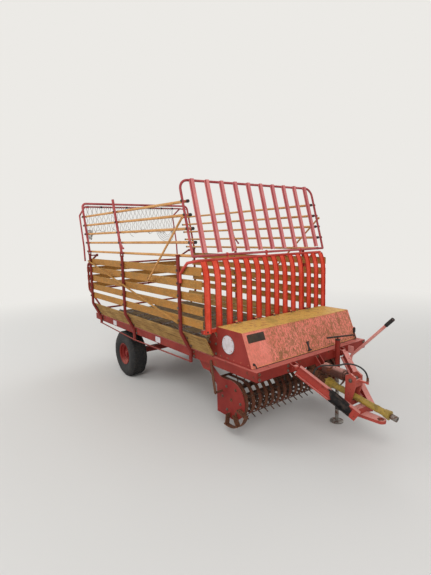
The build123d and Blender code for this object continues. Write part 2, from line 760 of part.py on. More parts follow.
# Hood over the feed rotor: folded sheet, open below and behind, on a rear hinge
hood_half = 870
hood_t = 4
hood_rear_x = mid_x + hood_rear_fwd
hood_top_z = 1188
hood_nose_x = mid_x + hood_nose_fwd
hood_front_x = mid_x + hood_front_fwd
hood_base_z = rail_top + 2
hood_pin_x = hood_rear_x - 22
hood_pin_z = hood_top_z + 8
hood_pin_r = 7
knuckle_r = hood_pin_r + 6
knuckle_half = 16
leaf_len = 70
leaf_t = 5
hood_profile = [
    (hood_rear_x, hood_top_z), (hood_nose_x, hood_top_z), (hood_front_x, hood_base_z),
    (hood_rear_x - 2, hood_base_z),
]
hinge_ys = [n * grille_pitch for n in (-4, -2, 0, 2, 4)]
with BuildPart() as hood:
    with BuildSketch(side(0)) as hood_side:
        with BuildLine():
            Polyline(*hood_profile, close=True)
        make_face()
        fillet(hood_side.vertices().group_by(Axis.X)[-2], 30)
    extrude(amount=hood_half, both=True)
    with BuildSketch(side(0)) as hood_inside:
        with BuildLine():
            Polyline(
                (hood_rear_x - 10, hood_top_z - hood_t), (hood_nose_x - hood_t, hood_top_z - hood_t),
                (hood_front_x - 3 * hood_t, hood_base_z - 5), (hood_rear_x - 10, hood_base_z - 5),
                close=True,
            )
        make_face()
    extrude(amount=hood_half - hood_t, both=True, mode=Mode.SUBTRACT)
    for y in hinge_ys:
        with BuildSketch(side(y)):
            with Locations((hood_pin_x + leaf_len / 2, hood_top_z + leaf_t / 2 - 1)):
                Rectangle(leaf_len, leaf_t)
            with Locations((hood_pin_x, hood_pin_z)):
                Circle(knuckle_r)
                Circle(hood_pin_r + fit, mode=Mode.SUBTRACT)
        extrude(amount=knuckle_half, both=True)
hood.part.label = "hood"
export_step(hood.part, "parts/hood.step")

# Feed rotor: drum with rows of curved tines, on a shaft in the cheeks' bearings
rotor_x = mid_x + rotor_fwd
rotor_z = 985
drum_r = 75
rotor_tip_r = 180
rotor_shaft_r = 25
rotor_half = 760
rotor_rows = 9
rotor_pitch = 160
cheek_t = 8
cheek_y = 854
with BuildPart() as feed_rotor:
    with BuildSketch(side(0)):
        with Locations((rotor_x, rotor_z)):
            Circle(drum_r)
    extrude(amount=rotor_half, both=True)
    with BuildSketch(side(0)):
        with Locations((rotor_x, rotor_z)):
            Circle(rotor_shaft_r)
    extrude(amount=cheek_y + cheek_t / 2, both=True)
    for n in range(rotor_rows):
        y = (n - (rotor_rows - 1) / 2) * rotor_pitch
        with BuildSketch(side(y)):
            with Locations((rotor_x, rotor_z)):
                with PolarLocations(0, 4, start_angle=22 * (n % 4)):
                    with Locations(((drum_r + rotor_tip_r) / 2 - 5, 0)):
                        Trapezoid(rotor_tip_r - drum_r + 10, 46, 62, 86)
        extrude(amount=4, both=True)
feed_rotor.part.label = "feed_rotor"
export_step(feed_rotor.part, "parts/feed_rotor.step")

# Front cheeks: plates on the rails that carry the rotor's bearings, the grille's foot bar
# and the ears of the hood's hinges, which stand in the gaps between the grille's slats
foot_bar_x = grille_x - grille_slat_d - seat - foot_bar / 2
foot_bar_top = grille_foot_z + foot_bar
bearing_r = 52
ear_out = knuckle_half + 2
with BuildPart() as front_cheeks:
    for s in (1, -1):
        with BuildSketch(side(s * cheek_y)):
            with BuildLine():
                Polyline(
                    (floor_front_x + 8, rail_top), (rotor_x + 90, rail_top), (rotor_x + 90, rotor_z + 60),
                    (grille_x + 40, rotor_z + 60), (foot_bar_x + foot_bar / 2, grille_foot_z),
                    (foot_bar_x + foot_bar / 2, grille_foot_z + 4),
                    (foot_bar_x - foot_bar / 2, grille_foot_z + 4), (floor_front_x + 8, rail_top + 60),
                    close=True,
                )
            make_face()
        extrude(amount=cheek_t / 2, both=True)
        cross_pin(rotor_x, rotor_z, s * (cheek_y - 18), s * (cheek_y + cheek_t / 2), bearing_r)
    with BuildSketch(side(0)):
        with Locations((rotor_x, rotor_z)):
            Circle(rotor_shaft_r + fit)
    extrude(amount=hood_half, both=True, mode=Mode.SUBTRACT)
    with Locations((foot_bar_x, 0, grille_foot_z + foot_bar / 2)):
        Box(foot_bar, 2 * (grille_ys[-1] + grille_slat_w / 2), foot_bar)
    for y in hinge_ys:
        for end in (-1, 1):
            with BuildSketch(side(y + end * (ear_out + 2))):
                with BuildLine():
                    Polyline(
                        (foot_bar_x - 8, foot_bar_top - 2), (foot_bar_x + foot_bar / 2 - 2, foot_bar_top - 2),
                        (hood_pin_x + 7, hood_pin_z - 10), (hood_pin_x - 6, hood_pin_z + 10),
                        close=True,
                    )
                make_face()
                with Locations((hood_pin_x, hood_pin_z)):
                    Circle(12)
            extrude(amount=2, both=True)
        cross_pin(hood_pin_x, hood_pin_z, y - ear_out - 4, y + ear_out + 4, hood_pin_r)
front_cheeks.part.label = "front_cheeks"
export_step(front_cheeks.part, "parts/front_cheeks.step")

# Feed channel: curved plate behind and below the rotor, held between the rails
channel_r = rotor_tip_r + 16
channel_t = 5
channel_start = math.radians(196)
channel_end = math.radians(284)
with BuildPart() as feed_channel:
    with BuildSketch(side(0)):
        with Locations((rotor_x, rotor_z)):
            Circle(channel_r + channel_t)
            Circle(channel_r, mode=Mode.SUBTRACT)
        with BuildLine():
            reach = 2 * channel_r
            Polyline(
                (rotor_x, rotor_z),
                (rotor_x + reach * math.cos(channel_start), rotor_z + reach * math.sin(channel_start)),
                (rotor_x + reach * math.cos(channel_start), rotor_z - reach),
                (rotor_x + reach * math.cos(channel_end), rotor_z + reach * math.sin(channel_end)),
                close=True,
            )
        make_face(mode=Mode.INTERSECT)
    extrude(amount=between_rails, both=True)
feed_channel.part.label = "feed_channel"
export_step(feed_channel.part, "parts/feed_channel.step")

# Pickup: side plates on arms, stripper bands between two bars, and skids
pickup_pin_x = mid_x + pickup_pin_fwd
pickup_pin_z = 690
pickup_pin_r = 12
reel_x = mid_x + reel_fwd
reel_z = 400
cheek_disc_r = 215
pickup_side_y = 804
pickup_side_t = 8
reel_shaft_r = 18
band_r = 198
band_t = 5
band_w = 44
band_pitch = 95
band_count = 17
band_leg = 200
bar_w = 40
bar_t = 8
cheek_back = band_leg + bar_w + 12
bracket_y = 850
bracket_plate_t = 10
arm_dx = reel_x - pickup_pin_x
arm_dz = reel_z - pickup_pin_z
arm_len = math.hypot(arm_dx, arm_dz)
arm_nx = -arm_dz / arm_len
arm_nz = arm_dx / arm_len

with BuildPart() as pickup_sides:
    for s in (1, -1):
        with BuildSketch(side(s * pickup_side_y)):
            with Locations((reel_x, reel_z)):
                Circle(cheek_disc_r)
            with Locations((reel_x - cheek_back / 2, reel_z)):
                Rectangle(cheek_back, 2 * (band_r + bar_t / 2 + 4))
            with Locations((pickup_pin_x, pickup_pin_z)):
                Circle(45)
            with BuildLine():
                Polyline(
                    (pickup_pin_x + 45 * arm_nx, pickup_pin_z + 45 * arm_nz),
                    (reel_x + 90 * arm_nx, reel_z + 90 * arm_nz),
                    (reel_x - 90 * arm_nx, reel_z - 90 * arm_nz),
                    (pickup_pin_x - 45 * arm_nx, pickup_pin_z - 45 * arm_nz),
                    close=True,
                )
            make_face()
            with Locations((pickup_pin_x, pickup_pin_z)):
                Circle(pickup_pin_r + fit, mode=Mode.SUBTRACT)
            with Locations((reel_x, reel_z)):
                Circle(reel_shaft_r + fit, mode=Mode.SUBTRACT)
        extrude(amount=pickup_side_t / 2, both=True)
pickup_sides.part.label = "pickup_sides"
export_step(pickup_sides.part, "parts/pickup_sides.step")

with BuildPart() as stripper_bands:
    for n in range(band_count):
        y = (n - (band_count - 1) / 2) * band_pitch
        band_in = band_r - band_t
        with BuildSketch(side(y)):
            with BuildLine():
                Line((reel_x - band_leg, reel_z + band_r), (reel_x, reel_z + band_r))
                ThreePointArc((reel_x, reel_z + band_r), (reel_x + band_r, reel_z), (reel_x, reel_z - band_r))
                Polyline(
                    (reel_x, reel_z - band_r), (reel_x - band_leg, reel_z - band_r),
                    (reel_x - band_leg, reel_z - band_in), (reel_x, reel_z - band_in),
                )
                ThreePointArc((reel_x, reel_z - band_in), (reel_x + band_in, reel_z), (reel_x, reel_z + band_in))
                Polyline(
                    (reel_x, reel_z + band_in), (reel_x - band_leg, reel_z + band_in),
                    (reel_x - band_leg, reel_z + band_r),
                )
            make_face()
        extrude(amount=band_w / 2, both=True)
    bar_y = pickup_side_y - pickup_side_t / 2
    for turn in (1, -1):
        with Locations((reel_x - band_leg - bar_w / 2 + 4, 0, reel_z + turn * (band_r - band_t / 2))):
            Box(bar_w, 2 * bar_y, bar_t)
stripper_bands.part.label = "stripper_bands"
export_step(stripper_bands.part, "parts/stripper_bands.step")

skid_r = 285
skid_hub_r = 150
skid_t = 6
skid_w = 56
skid_from = math.radians(-105)
skid_to = math.radians(-15)
skid_y = pickup_side_y + pickup_side_t / 2 + seat + skid_w / 2
with BuildPart() as pickup_skids:
    for s in (1, -1):
        with BuildSketch(side(s * skid_y)):
            with Locations((reel_x, reel_z)):
                Circle(skid_r)
                Circle(skid_r - skid_t, mode=Mode.SUBTRACT)
            with BuildLine():
                Polyline(
                    (reel_x, reel_z),
                    (reel_x + 2 * skid_r * math.cos(skid_from), reel_z + 2 * skid_r * math.sin(skid_from)),
                    (reel_x + 2 * skid_r * math.cos(skid_to), reel_z + 2 * skid_r * math.sin(skid_from)),
                    (reel_x + 2 * skid_r * math.cos(skid_to), reel_z + 2 * skid_r * math.sin(skid_to)),
                    close=True,
                )
            make_face(mode=Mode.INTERSECT)
            with Locations((reel_x, reel_z)):
                with Locations(*[Location((0, 0), a) for a in (-100, -60, -20)]):
                    with Locations(((skid_r + skid_hub_r) / 2, 0)):
                        Rectangle(skid_r - skid_hub_r - skid_t, 12)
        extrude(amount=skid_w / 2, both=True)
pickup_skids.part.label = "pickup_skids"
export_step(pickup_skids.part, "parts/pickup_skids.step")

# Pickup straps: flat bars on the outside that carry the pickup's lift
strap_w = 40
strap_t = 6
strap_y = rail_outer + 6 + strap_t / 2
strap_foot = (reel_x - 155, reel_z + 60)
strap_head = (reel_x - 220, reel_z + 390)
with BuildPart() as pickup_straps:
    for s in (1, -1):
        run_x = strap_head[0] - strap_foot[0]
        run_z = strap_head[1] - strap_foot[1]
        with BuildSketch(side(s * strap_y)):
            with Locations(Location(
                ((strap_foot[0] + strap_head[0]) / 2, (strap_foot[1] + strap_head[1]) / 2),
                math.degrees(math.atan2(run_z, run_x)),
            )):
                SlotOverall(math.hypot(run_x, run_z) + strap_w, strap_w)
        extrude(amount=strap_t / 2, both=True)
        cross_pin(
            strap_foot[0], strap_foot[1], s * (pickup_side_y + pickup_side_t / 2), s * (strap_y + strap_t), 12
        )
pickup_straps.part.label = "pickup_straps"
export_step(pickup_straps.part, "parts/pickup_straps.step")

# Pickup reel: shaft, discs and five bars of spring tines that reach out between the bands
tine_tip_r = 254
tine_bar_r = 128
tine_bars = 5
reel_half = 780
tine_t = 8
tine_outline = [
    (tine_bar_r - 6, -6), (band_r + 6, -6), (tine_tip_r - 3, 22), (tine_tip_r - 8, 28), (band_r + 2, 5),
    (tine_bar_r - 6, 5),
]
with BuildPart() as pickup_reel:
    with BuildSketch(side(0)):
        with Locations((reel_x, reel_z)):
            Circle(reel_shaft_r)
    extrude(amount=pickup_side_y + pickup_side_t, both=True)
    for y in (-reel_half + 4, 0, reel_half - 4):
        with BuildSketch(side(y)):
            with Locations((reel_x, reel_z)):
                Circle(tine_bar_r + 20)
        extrude(amount=3, both=True)
    with BuildSketch(side(0)):
        with Locations((reel_x, reel_z)):
            with PolarLocations(tine_bar_r - 8, tine_bars, start_angle=18):
                Rectangle(18, 18)
    extrude(amount=reel_half, both=True)
    for n in range(band_count - 1):
        y = (n + 0.5 - (band_count - 1) / 2) * band_pitch
        with BuildSketch(side(y)):
            with Locations((reel_x, reel_z)):
                with PolarLocations(0, tine_bars, start_angle=18):
                    Polygon(*tine_outline, align=None)
        extrude(amount=tine_t / 2, both=True)
pickup_reel.part.label = "pickup_reel"
export_step(pickup_reel.part, "parts/pickup_reel.step")

# Drawbar: two arms of I section that converge to the towing eye, hinged at the front beam
arm_pin_x = beam_x + arm_pin_ahead
arm_pin_z = 800
arm_pin_r = 14
arm_root_y = 400
arm_tip_y = 125
arm_reach = 535
arm_tip_x = arm_pin_x + arm_reach
arm_tip_z = 392
arm_h = 100
arm_w = 56
flange_t = 10
web_t = 10
boss_r = 28
boss_half = 28
lug_plate_t = 10
eye_x = arm_tip_x + 170
eye_z = 372
eye_r = 20
eye_out_r = 48
eye_t = 30
bracket_x = arm_tip_x - 160
head_x = bracket_x + 40
head_z = 700
head_pin_r = 12
fork_y = 54
fork_t = 20
fork_front = 50
cross_z = 450
elbow_r = 12
elbow_up = 22
rear_elbow = (beam_fwd + 166, -278.5, 668)
front_elbow = (beam_fwd + 590, 14, 694)


def arm_point(x):
    """Half spacing and height of the arms' middle line at x."""
    part_way = (x - arm_pin_x) / (arm_tip_x - arm_pin_x)
    return (
        arm_root_y + part_way * (arm_tip_y - arm_root_y),
        arm_pin_z + part_way * (arm_tip_z - arm_pin_z),
    )


def elbow_stub(fwd, y, z):
    """Upright end of a hose elbow into the part that is being built."""
    with BuildSketch(Plane.XY.offset(z - elbow_r)) as stub_face:
        with Locations((mid_x + fwd, y)):
            Circle(elbow_r)
    extrude(stub_face.sketch, amount=elbow_r + elbow_up)


with BuildPart() as drawbar:
    for s in (1, -1):
        root = Vector(arm_pin_x, s * arm_root_y, arm_pin_z)
        tip = Vector(arm_tip_x, s * arm_tip_y, arm_tip_z)
        run = tip - root
        flat = Vector(run.Y, -run.X, 0).normalized()
        start = root + run.normalized() * 30
        with BuildSketch(Plane(origin=start, x_dir=flat, z_dir=run)):
            Rectangle(web_t, arm_h)
            with Locations((0, arm_h / 2 - flange_t / 2), (0, -arm_h / 2 + flange_t / 2)):
                Rectangle(arm_w, flange_t)
        extrude(amount=run.length - 30)
        with BuildSketch(Plane(origin=tip - run.normalized() * 70, x_dir=flat, z_dir=run)):
            Rectangle(arm_w, arm_h)
        extrude(amount=70)
        cross_pin(arm_pin_x, arm_pin_z, s * arm_root_y - boss_half, s * arm_root_y + boss_half, boss_r)
    tip_y, tip_z = arm_point(arm_tip_x - 45)
    with Locations((arm_tip_x - 45, 0, tip_z - 10)):
        Box(70, 2 * tip_y, 60)
    mid_y, mid_z = arm_point(bracket_x)
    with Locations((bracket_x, 0, cross_z)):
        Box(60, 2 * mid_y, 44)
    with BuildSketch(side(0)):
        with Locations((arm_pin_x, arm_pin_z)):
            Circle(arm_pin_r + fit)
    extrude(amount=2 * arm_root_y, both=True, mode=Mode.SUBTRACT)
    with BuildSketch(Plane.XY.offset(eye_z - eye_t / 2)):
        with BuildLine():
            Polyline(
                (arm_tip_x - 40, -60), (eye_x, -eye_out_r), (eye_x, eye_out_r), (arm_tip_x - 40, 60),
                close=True,
            )
        make_face()
        with Locations((eye_x, 0)):
            Circle(eye_out_r)
            Circle(eye_r, mode=Mode.SUBTRACT)
    extrude(amount=eye_t)
    for s in (1, -1):
        with BuildSketch(side(s * fork_y)):
            with BuildLine():
                Polyline(
                    (bracket_x - 30, cross_z - 20), (bracket_x + 30, cross_z - 20),
                    (head_x + fork_front, head_z - 60), (head_x + fork_front, head_z + 40),
                    (head_x, head_z + 70),
                    (head_x - 60, head_z + 40), (head_x - 60, head_z - 60),
                    close=True,
                )
            make_face()
        extrude(amount=fork_t / 2, both=True)
    cross_pin(head_x, head_z, -fork_y, fork_y, head_pin_r)
    with Locations((head_x + fork_front - 7, 0, head_z - 25)):
        Box(14, 2 * fork_y, 70)
    fwd, y, z = front_elbow
    tube([(head_x + fork_front - 2, y, z), (mid_x + fwd, y, z)], elbow_r)
    elbow_stub(fwd, y, z)
    fwd, y, z = rear_elbow
    inward = Vector(arm_root_y - arm_tip_y, -arm_reach, 0).normalized()
    start = Vector(mid_x + fwd, y, z)
    tube([start, start + inward * 50], elbow_r)
    elbow_stub(fwd, y, z)
drawbar.part.label = "drawbar"
export_step(drawbar.part, "parts/drawbar.step")

# Oil hose on the drawbar, from the elbow on the right-hand arm over the cylinder to the fork
hose_r = 8
hose_points = [
    (2742, -278.5, 690), (2742, -278.5, 734), (2744, -256, 778), (2758, -216, 808), (2792, -168, 820),
    (2848, -124, 820), (2912, -92, 832), (2974, -66, 858), (3042, -40, 864), (3102, -16, 846),
    (3146, 4, 808), (3166, 14, 756), (3166, 14, 716),
]


def easy_bends(points):
    """The largest radius that the two runs beside each corner allow."""
    radii = []
    for before, corner, after in zip(points, points[1:], points[2:]):
        come = Vector(*corner) - Vector(*before)
        leave = Vector(*after) - Vector(*corner)
        radii.append(0.45 * min(come.length, leave.length) / math.tan(math.radians(come.get_angle(leave) / 2)))
    return radii


hose_bends = easy_bends(hose_points)
with BuildPart() as drawbar_hose:
    with BuildLine() as hose_run:
        FilletPolyline(*[(mid_x + x, y, z) for x, y, z in hose_points], radius=hose_bends)
    with BuildSketch(Plane(hose_run.line @ 0, z_dir=hose_run.line % 0)) as hose_face:
        Circle(hose_r)
    sweep(sections=hose_face.sketch, path=hose_run.line)
hose_len = hose_run.wire().length
print("hose radii", [round(r) for r in hose_bends], "length", round(hose_len))
print("hose volume over section by length", drawbar_hose.part.volume / (math.pi * hose_r**2 * hose_len))
drawbar_hose.part.label = "drawbar_hose"
export_step(drawbar_hose.part, "parts/drawbar_hose.step")

# Drawbar cylinder: barrel on the front beam, and a rod to the drawbar's fork
barrel_pin_x = beam_x + barrel_pin_ahead
barrel_pin_z = 730
barrel_pin_r = 12
barrel_r = 56
bore_r = 25
barrel_from = 34
barrel_len = 250
rod_r = 22
cyl_run = Vector(head_x - barrel_pin_x, 0, head_z - barrel_pin_z)
cyl_len = cyl_run.length
cyl_origin = Vector(barrel_pin_x, 0, barrel_pin_z)
cyl_plane = Plane(origin=cyl_origin, x_dir=(0, 1, 0), z_dir=cyl_run)
gland_len = 30
with BuildPart() as cylinder_barrel:
    with BuildSketch(cyl_plane.offset(barrel_from)):
        Circle(barrel_r)
    extrude(amount=barrel_len)
    chamfer(cylinder_barrel.edges().filter_by(GeomType.CIRCLE), 6)
    with BuildSketch(cyl_plane.offset(barrel_from + barrel_len - 1)):
        Circle(barrel_r - 16)
    extrude(amount=14)
    with BuildSketch(cyl_plane.offset(barrel_from + 30)):
        Circle(bore_r)
    extrude(amount=barrel_len - 30 - gland_len, mode=Mode.SUBTRACT)
    with BuildSketch(cyl_plane.offset(barrel_from + 60)):
        Circle(rod_r + fit)
    extrude(amount=barrel_len, mode=Mode.SUBTRACT)
    with BuildSketch(cyl_plane):
        Rectangle(50, 40)
    extrude(amount=barrel_from + 4)
    cross_pin(barrel_pin_x, barrel_pin_z, -26, 26, 22)
    with BuildSketch(side(0)):
        with Locations((barrel_pin_x, barrel_pin_z)):
            Circle(barrel_pin_r + fit)
    extrude(amount=60, both=True, mode=Mode.SUBTRACT)
cylinder_barrel.part.label = "cylinder_barrel"
export_step(cylinder_barrel.part, "parts/cylinder_barrel.step")

rod_eye_r = 26
with BuildPart() as cylinder_rod:
    with BuildSketch(cyl_plane.offset(barrel_from + 90)):
        Circle(rod_r)
    extrude(amount=cyl_len - barrel_from - 90 - head_pin_r - 6)
    cross_pin(head_x, head_z, -36, 36, rod_eye_r)
    with BuildSketch(side(0)):
        with Locations((head_x, head_z)):
            Circle(head_pin_r + 3)
    extrude(amount=60, both=True, mode=Mode.SUBTRACT)
cylinder_rod.part.label = "cylinder_rod"
export_step(cylinder_rod.part, "parts/cylinder_rod.step")

# Brackets on the frame: ears and pins for the drawbar's arms, the cylinder and the pickup
cyl_ear_t = 12
cyl_ear_y = 34
arm_ear_y = boss_half + 2 + lug_plate_t / 2
with BuildPart() as frame_brackets:
    for s in (1, -1):
        for off in (arm_ear_y, -arm_ear_y):
            with BuildSketch(side(s * arm_root_y + off)):
                with BuildLine():
                    Polyline(
                        (beam_x, rail_top - 4), (beam_x, rail_bottom + 4),
                        (arm_pin_x + 16, arm_pin_z - 30), (arm_pin_x + 30, arm_pin_z),
                        (arm_pin_x + 16, arm_pin_z + 30),
                        close=True,
                    )
                make_face()
            extrude(amount=lug_plate_t / 2, both=True)
        reach_y = arm_ear_y + lug_plate_t / 2 + 6
        cross_pin(arm_pin_x, arm_pin_z, s * arm_root_y - reach_y, s * arm_root_y + reach_y, arm_pin_r)
        with BuildSketch(side(s * cyl_ear_y)):
            with BuildLine():
                Polyline(
                    (beam_x, rail_top - 10), (beam_x, rail_bottom + 2),
                    (barrel_pin_x - 30, barrel_pin_z - 24), (barrel_pin_x + 8, barrel_pin_z - 24),
                    (barrel_pin_x + 22, barrel_pin_z), (barrel_pin_x + 12, barrel_pin_z + 26),
                    close=True,
                )
            make_face()
        extrude(amount=cyl_ear_t / 2, both=True)
        with BuildSketch(side(s * bracket_y)):
            with BuildLine():
                Polyline(
                    (pickup_pin_x - 120, rail_bottom), (pickup_pin_x + 120, rail_bottom),
                    (pickup_pin_x + 90, pickup_pin_z - 40), (pickup_pin_x - 40, pickup_pin_z - 40),
                    close=True,
                )
            make_face()
        extrude(amount=bracket_plate_t / 2, both=True)
        cross_pin(
            pickup_pin_x, pickup_pin_z, s * bracket_y, s * (pickup_side_y - pickup_side_t), pickup_pin_r
        )
    cyl_pin_end = cyl_ear_y + cyl_ear_t
    cross_pin(barrel_pin_x, barrel_pin_z, -cyl_pin_end, cyl_pin_end, barrel_pin_r)
frame_brackets.part.label = "frame_brackets"
export_step(frame_brackets.part, "parts/frame_brackets.step")

# Gearbox under the front beam, with the fork that carries the drive shaft
box_back_x = beam_x - 92
box_front_x = beam_x + 64
box_low_z = 530
box_half = 85
fork_pin_x = beam_x + fork_pin_ahead
fork_pin_r = 8
with BuildPart() as gearbox:
    box_h = rail_bottom - box_low_z - 60
    with Locations(((box_back_x + box_front_x) / 2, 0, box_low_z + box_h / 2)):
        Box(box_front_x - box_back_x, 2 * box_half, box_h)
    fillet(gearbox.edges().filter_by(Axis.X), 24)
    with BuildSketch(across(box_front_x)):
        with Locations((0, fork_pin_z)):
            Circle(52)
    extrude(amount=12)
    with Locations(((box_back_x + beam_x) / 2, 0, rail_bottom - 35)):
        Box(beam_x - box_back_x, 120, 70)
    for s in (1, -1):
        with BuildSketch(side(s * 24)):
            with Locations((fork_pin_x, fork_pin_z)):
                Circle(16)
            with Locations(((fork_pin_x + box_front_x + 12) / 2, fork_pin_z)):
                Rectangle(fork_pin_x - box_front_x - 12, 32)
        extrude(amount=4, both=True)
    cross_pin(fork_pin_x, fork_pin_z, -28, 28, fork_pin_r)
gearbox.part.label = "gearbox"
export_step(gearbox.part, "parts/gearbox.step")

# Drive shaft: yokes at both ends of a guard tube with a corrugated cone
shaft_tip = Vector(beam_x + shaft_ahead, 0, shaft_tip_z)
shaft_root = Vector(fork_pin_x, 0, fork_pin_z)
shaft_run = shaft_tip - shaft_root
shaft_len = shaft_run.length
shaft_plane = Plane(origin=shaft_root, x_dir=shaft_run, z_dir=(0, -1, 0))
guard_r = 32
guard_profile = [
    (34, 0), (34, 56), (48, 56), (52, 50), (64, 54), (68, 47), (80, 51), (84, 44), (96, 47),
    (100, guard_r + 4), (130, guard_r + 4), (134, guard_r), (shaft_len - 130, guard_r),
    (shaft_len - 126, guard_r + 6), (shaft_len - 70, guard_r + 14), (shaft_len - 66, 0),
]
with BuildPart() as pto_guard:
    with BuildSketch(shaft_plane):
        with BuildLine():
            Polyline(*guard_profile, close=True)
        make_face()
    revolve(axis=Axis(shaft_root, shaft_run))
    with BuildSketch(shaft_plane):
        with BuildLine():
            Polyline((20, 0), (20, 22), (40, 22), (40, 0), close=True)
        make_face()
    revolve(axis=Axis(shaft_root, shaft_run))
    with BuildSketch(side(0)) as yoke_ring:
        with Locations((fork_pin_x, fork_pin_z)):
            Circle(18)
            with Locations(Location((0, 0), -math.degrees(shaft_dip))):
                with Locations((15, 0)):
                    Rectangle(30, 30)
            Circle(fork_pin_r + fit, mode=Mode.SUBTRACT)
    extrude(amount=19, both=True)
pto_guard.part.label = "pto_guard"
export_step(pto_guard.part, "parts/pto_guard.step")

yoke_bore_r = 17.5
yoke_depth = 48
with BuildPart() as pto_yoke:
    with BuildSketch(shaft_plane):
        with BuildLine():
            Polyline(
                (shaft_len - 66 + seat, 0), (shaft_len - 66 + seat, 20), (shaft_len - 52, yoke_r), (shaft_len, yoke_r),
                (shaft_len, yoke_bore_r), (shaft_len - yoke_depth, yoke_bore_r), (shaft_len - yoke_depth, 0),
                close=True,
            )
        make_face()
    revolve(axis=Axis(shaft_root, shaft_run))
pto_yoke.part.label = "pto_yoke"
export_step(pto_yoke.part, "parts/pto_yoke.step")

# Parking jack: tube on the front beam and a leg that slides in it
jack_y = 312
jack_out_r = 28
jack_leg_r = 20
jack_x = beam_x + 2 + jack_out_r
jack_low_z = 600
jack_top_z = 960
leg_top_z = 700
foot_r = 75
foot_t = 12
crank_turn = 20
with BuildPart() as jack_tube:
    with BuildSketch(Plane.XY.offset(jack_low_z)):
        with Locations((jack_x, jack_y)):
            Circle(jack_out_r)
    extrude(amount=jack_top_z - jack_low_z)
    with Locations((beam_x + 9, jack_y, (rail_top + rail_bottom) / 2)):
        Box(18, 80, 84)
    with BuildSketch(Plane.XY.offset(jack_low_z)):
        with Locations((jack_x, jack_y)):
            Circle(jack_leg_r + fit)
    extrude(amount=jack_top_z - jack_low_z - 6, mode=Mode.SUBTRACT)
    crank_z = jack_top_z + 34
    tube([(jack_x, jack_y, jack_top_z - 2), (jack_x, jack_y, crank_z)], 9)
    turn = math.radians(crank_turn)
    near, far = [
        (jack_x + arm * math.sin(turn), jack_y + arm * math.cos(turn), crank_z) for arm in (-137, 212)
    ]
    tube([near, far, (far[0], far[1], crank_z + 90)], 9, 18)
jack_tube.part.label = "jack_tube"
export_step(jack_tube.part, "parts/jack_tube.step")

with BuildPart() as jack_leg:
    with BuildSketch(Plane.XY):
        with Locations((jack_x, jack_y)):
            Circle(foot_r)
    extrude(amount=foot_t)
    with BuildSketch(Plane.XY):
        with Locations((jack_x, jack_y)):
            Circle(jack_leg_r)
    extrude(amount=leg_top_z)
jack_leg.part.label = "jack_leg"
export_step(jack_leg.part, "parts/jack_leg.step")

# Hand brake lever: a bent tube with a thicker grip, on a bracket in front of the beam
lever_y = 560
lever_r = 16
grip_r = 20
grip_len = 115
lever_run = [(30, 664), (42, 735), (178, 867), (532, 1234)]
with BuildPart() as brake_lever:
    with Locations((beam_x + 33, lever_y, rail_top - 54)):
        Box(66, 16, 84)
    lever_points = [(beam_x + ahead, lever_y, z) for ahead, z in lever_run]
    tube(lever_points, lever_r, 70)
    lever_aim = (Vector(*lever_points[-1]) - Vector(*lever_points[-2])).normalized()
    with BuildSketch(Plane(origin=Vector(*lever_points[-1]) - lever_aim * grip_len, z_dir=lever_aim)) as grip:
        Circle(grip_r)
    extrude(grip.sketch, amount=grip_len)
brake_lever.part.label = "brake_lever"
export_step(brake_lever.part, "parts/brake_lever.step")

# Blank plates on the right-hand rail and the hood, and the blank disc on the hood's end
plate_t = 2
plate_fwd = 669
plate_back = 740
with BuildPart() as blank_plates:
    for x in (mid_x + plate_fwd, mid_x - plate_back):
        with Locations((x, -rail_outer - seat - plate_t / 2, (rail_top + rail_bottom) / 2)):
            Box(130, plate_t, 74)
blank_plates.part.label = "blank_plates"
export_step(blank_plates.part, "parts/blank_plates.step")

disc_r = 100
with BuildPart() as hood_disc:
    with BuildSketch(side(-hood_half - seat - plate_t / 2)):
        with Locations(((hood_rear_x + hood_nose_x) / 2 - 20, (hood_top_z + rail_top) / 2 + 8)):
            Circle(disc_r)
    extrude(amount=plate_t / 2, both=True)
hood_disc.part.label = "hood_disc"
export_step(hood_disc.part, "parts/hood_disc.step")
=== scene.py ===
"""Looks of the forage wagon: finishes, small hardware, net and hose, and the studio."""
import functools
import math
import random

import bmesh
import bpy
from bpy.props import FloatProperty, FloatVectorProperty, IntProperty, PointerProperty
from mathutils import Matrix, Vector
from mathutils.bvhtree import BVHTree


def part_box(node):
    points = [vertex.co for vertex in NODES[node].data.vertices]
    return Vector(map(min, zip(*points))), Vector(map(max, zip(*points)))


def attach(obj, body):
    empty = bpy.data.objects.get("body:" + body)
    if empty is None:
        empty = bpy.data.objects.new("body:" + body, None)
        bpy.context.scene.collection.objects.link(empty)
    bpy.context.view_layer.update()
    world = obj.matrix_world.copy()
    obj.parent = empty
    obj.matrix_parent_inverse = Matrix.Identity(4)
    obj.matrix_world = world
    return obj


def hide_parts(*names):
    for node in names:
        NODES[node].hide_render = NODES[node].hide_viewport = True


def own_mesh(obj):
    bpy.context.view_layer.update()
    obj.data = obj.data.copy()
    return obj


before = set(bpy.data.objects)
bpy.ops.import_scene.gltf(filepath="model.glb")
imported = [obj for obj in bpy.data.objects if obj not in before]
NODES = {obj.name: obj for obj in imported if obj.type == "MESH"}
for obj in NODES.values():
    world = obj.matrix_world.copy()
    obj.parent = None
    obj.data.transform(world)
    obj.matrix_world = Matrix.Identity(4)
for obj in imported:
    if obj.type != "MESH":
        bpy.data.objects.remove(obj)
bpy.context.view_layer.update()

bl_info = {
    "name": "Forage Wagon",
    "version": (1, 0, 0),
    "blender": (4, 5, 0),
    "location": "View3D > Sidebar > Forage Wagon",
    "description": "Finishes, hardware, net, hose and studio for a self-loading forage wagon",
    "category": "Object",
}

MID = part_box("chassis_frame")[1][0] - 2.576  # where the middle posts stand
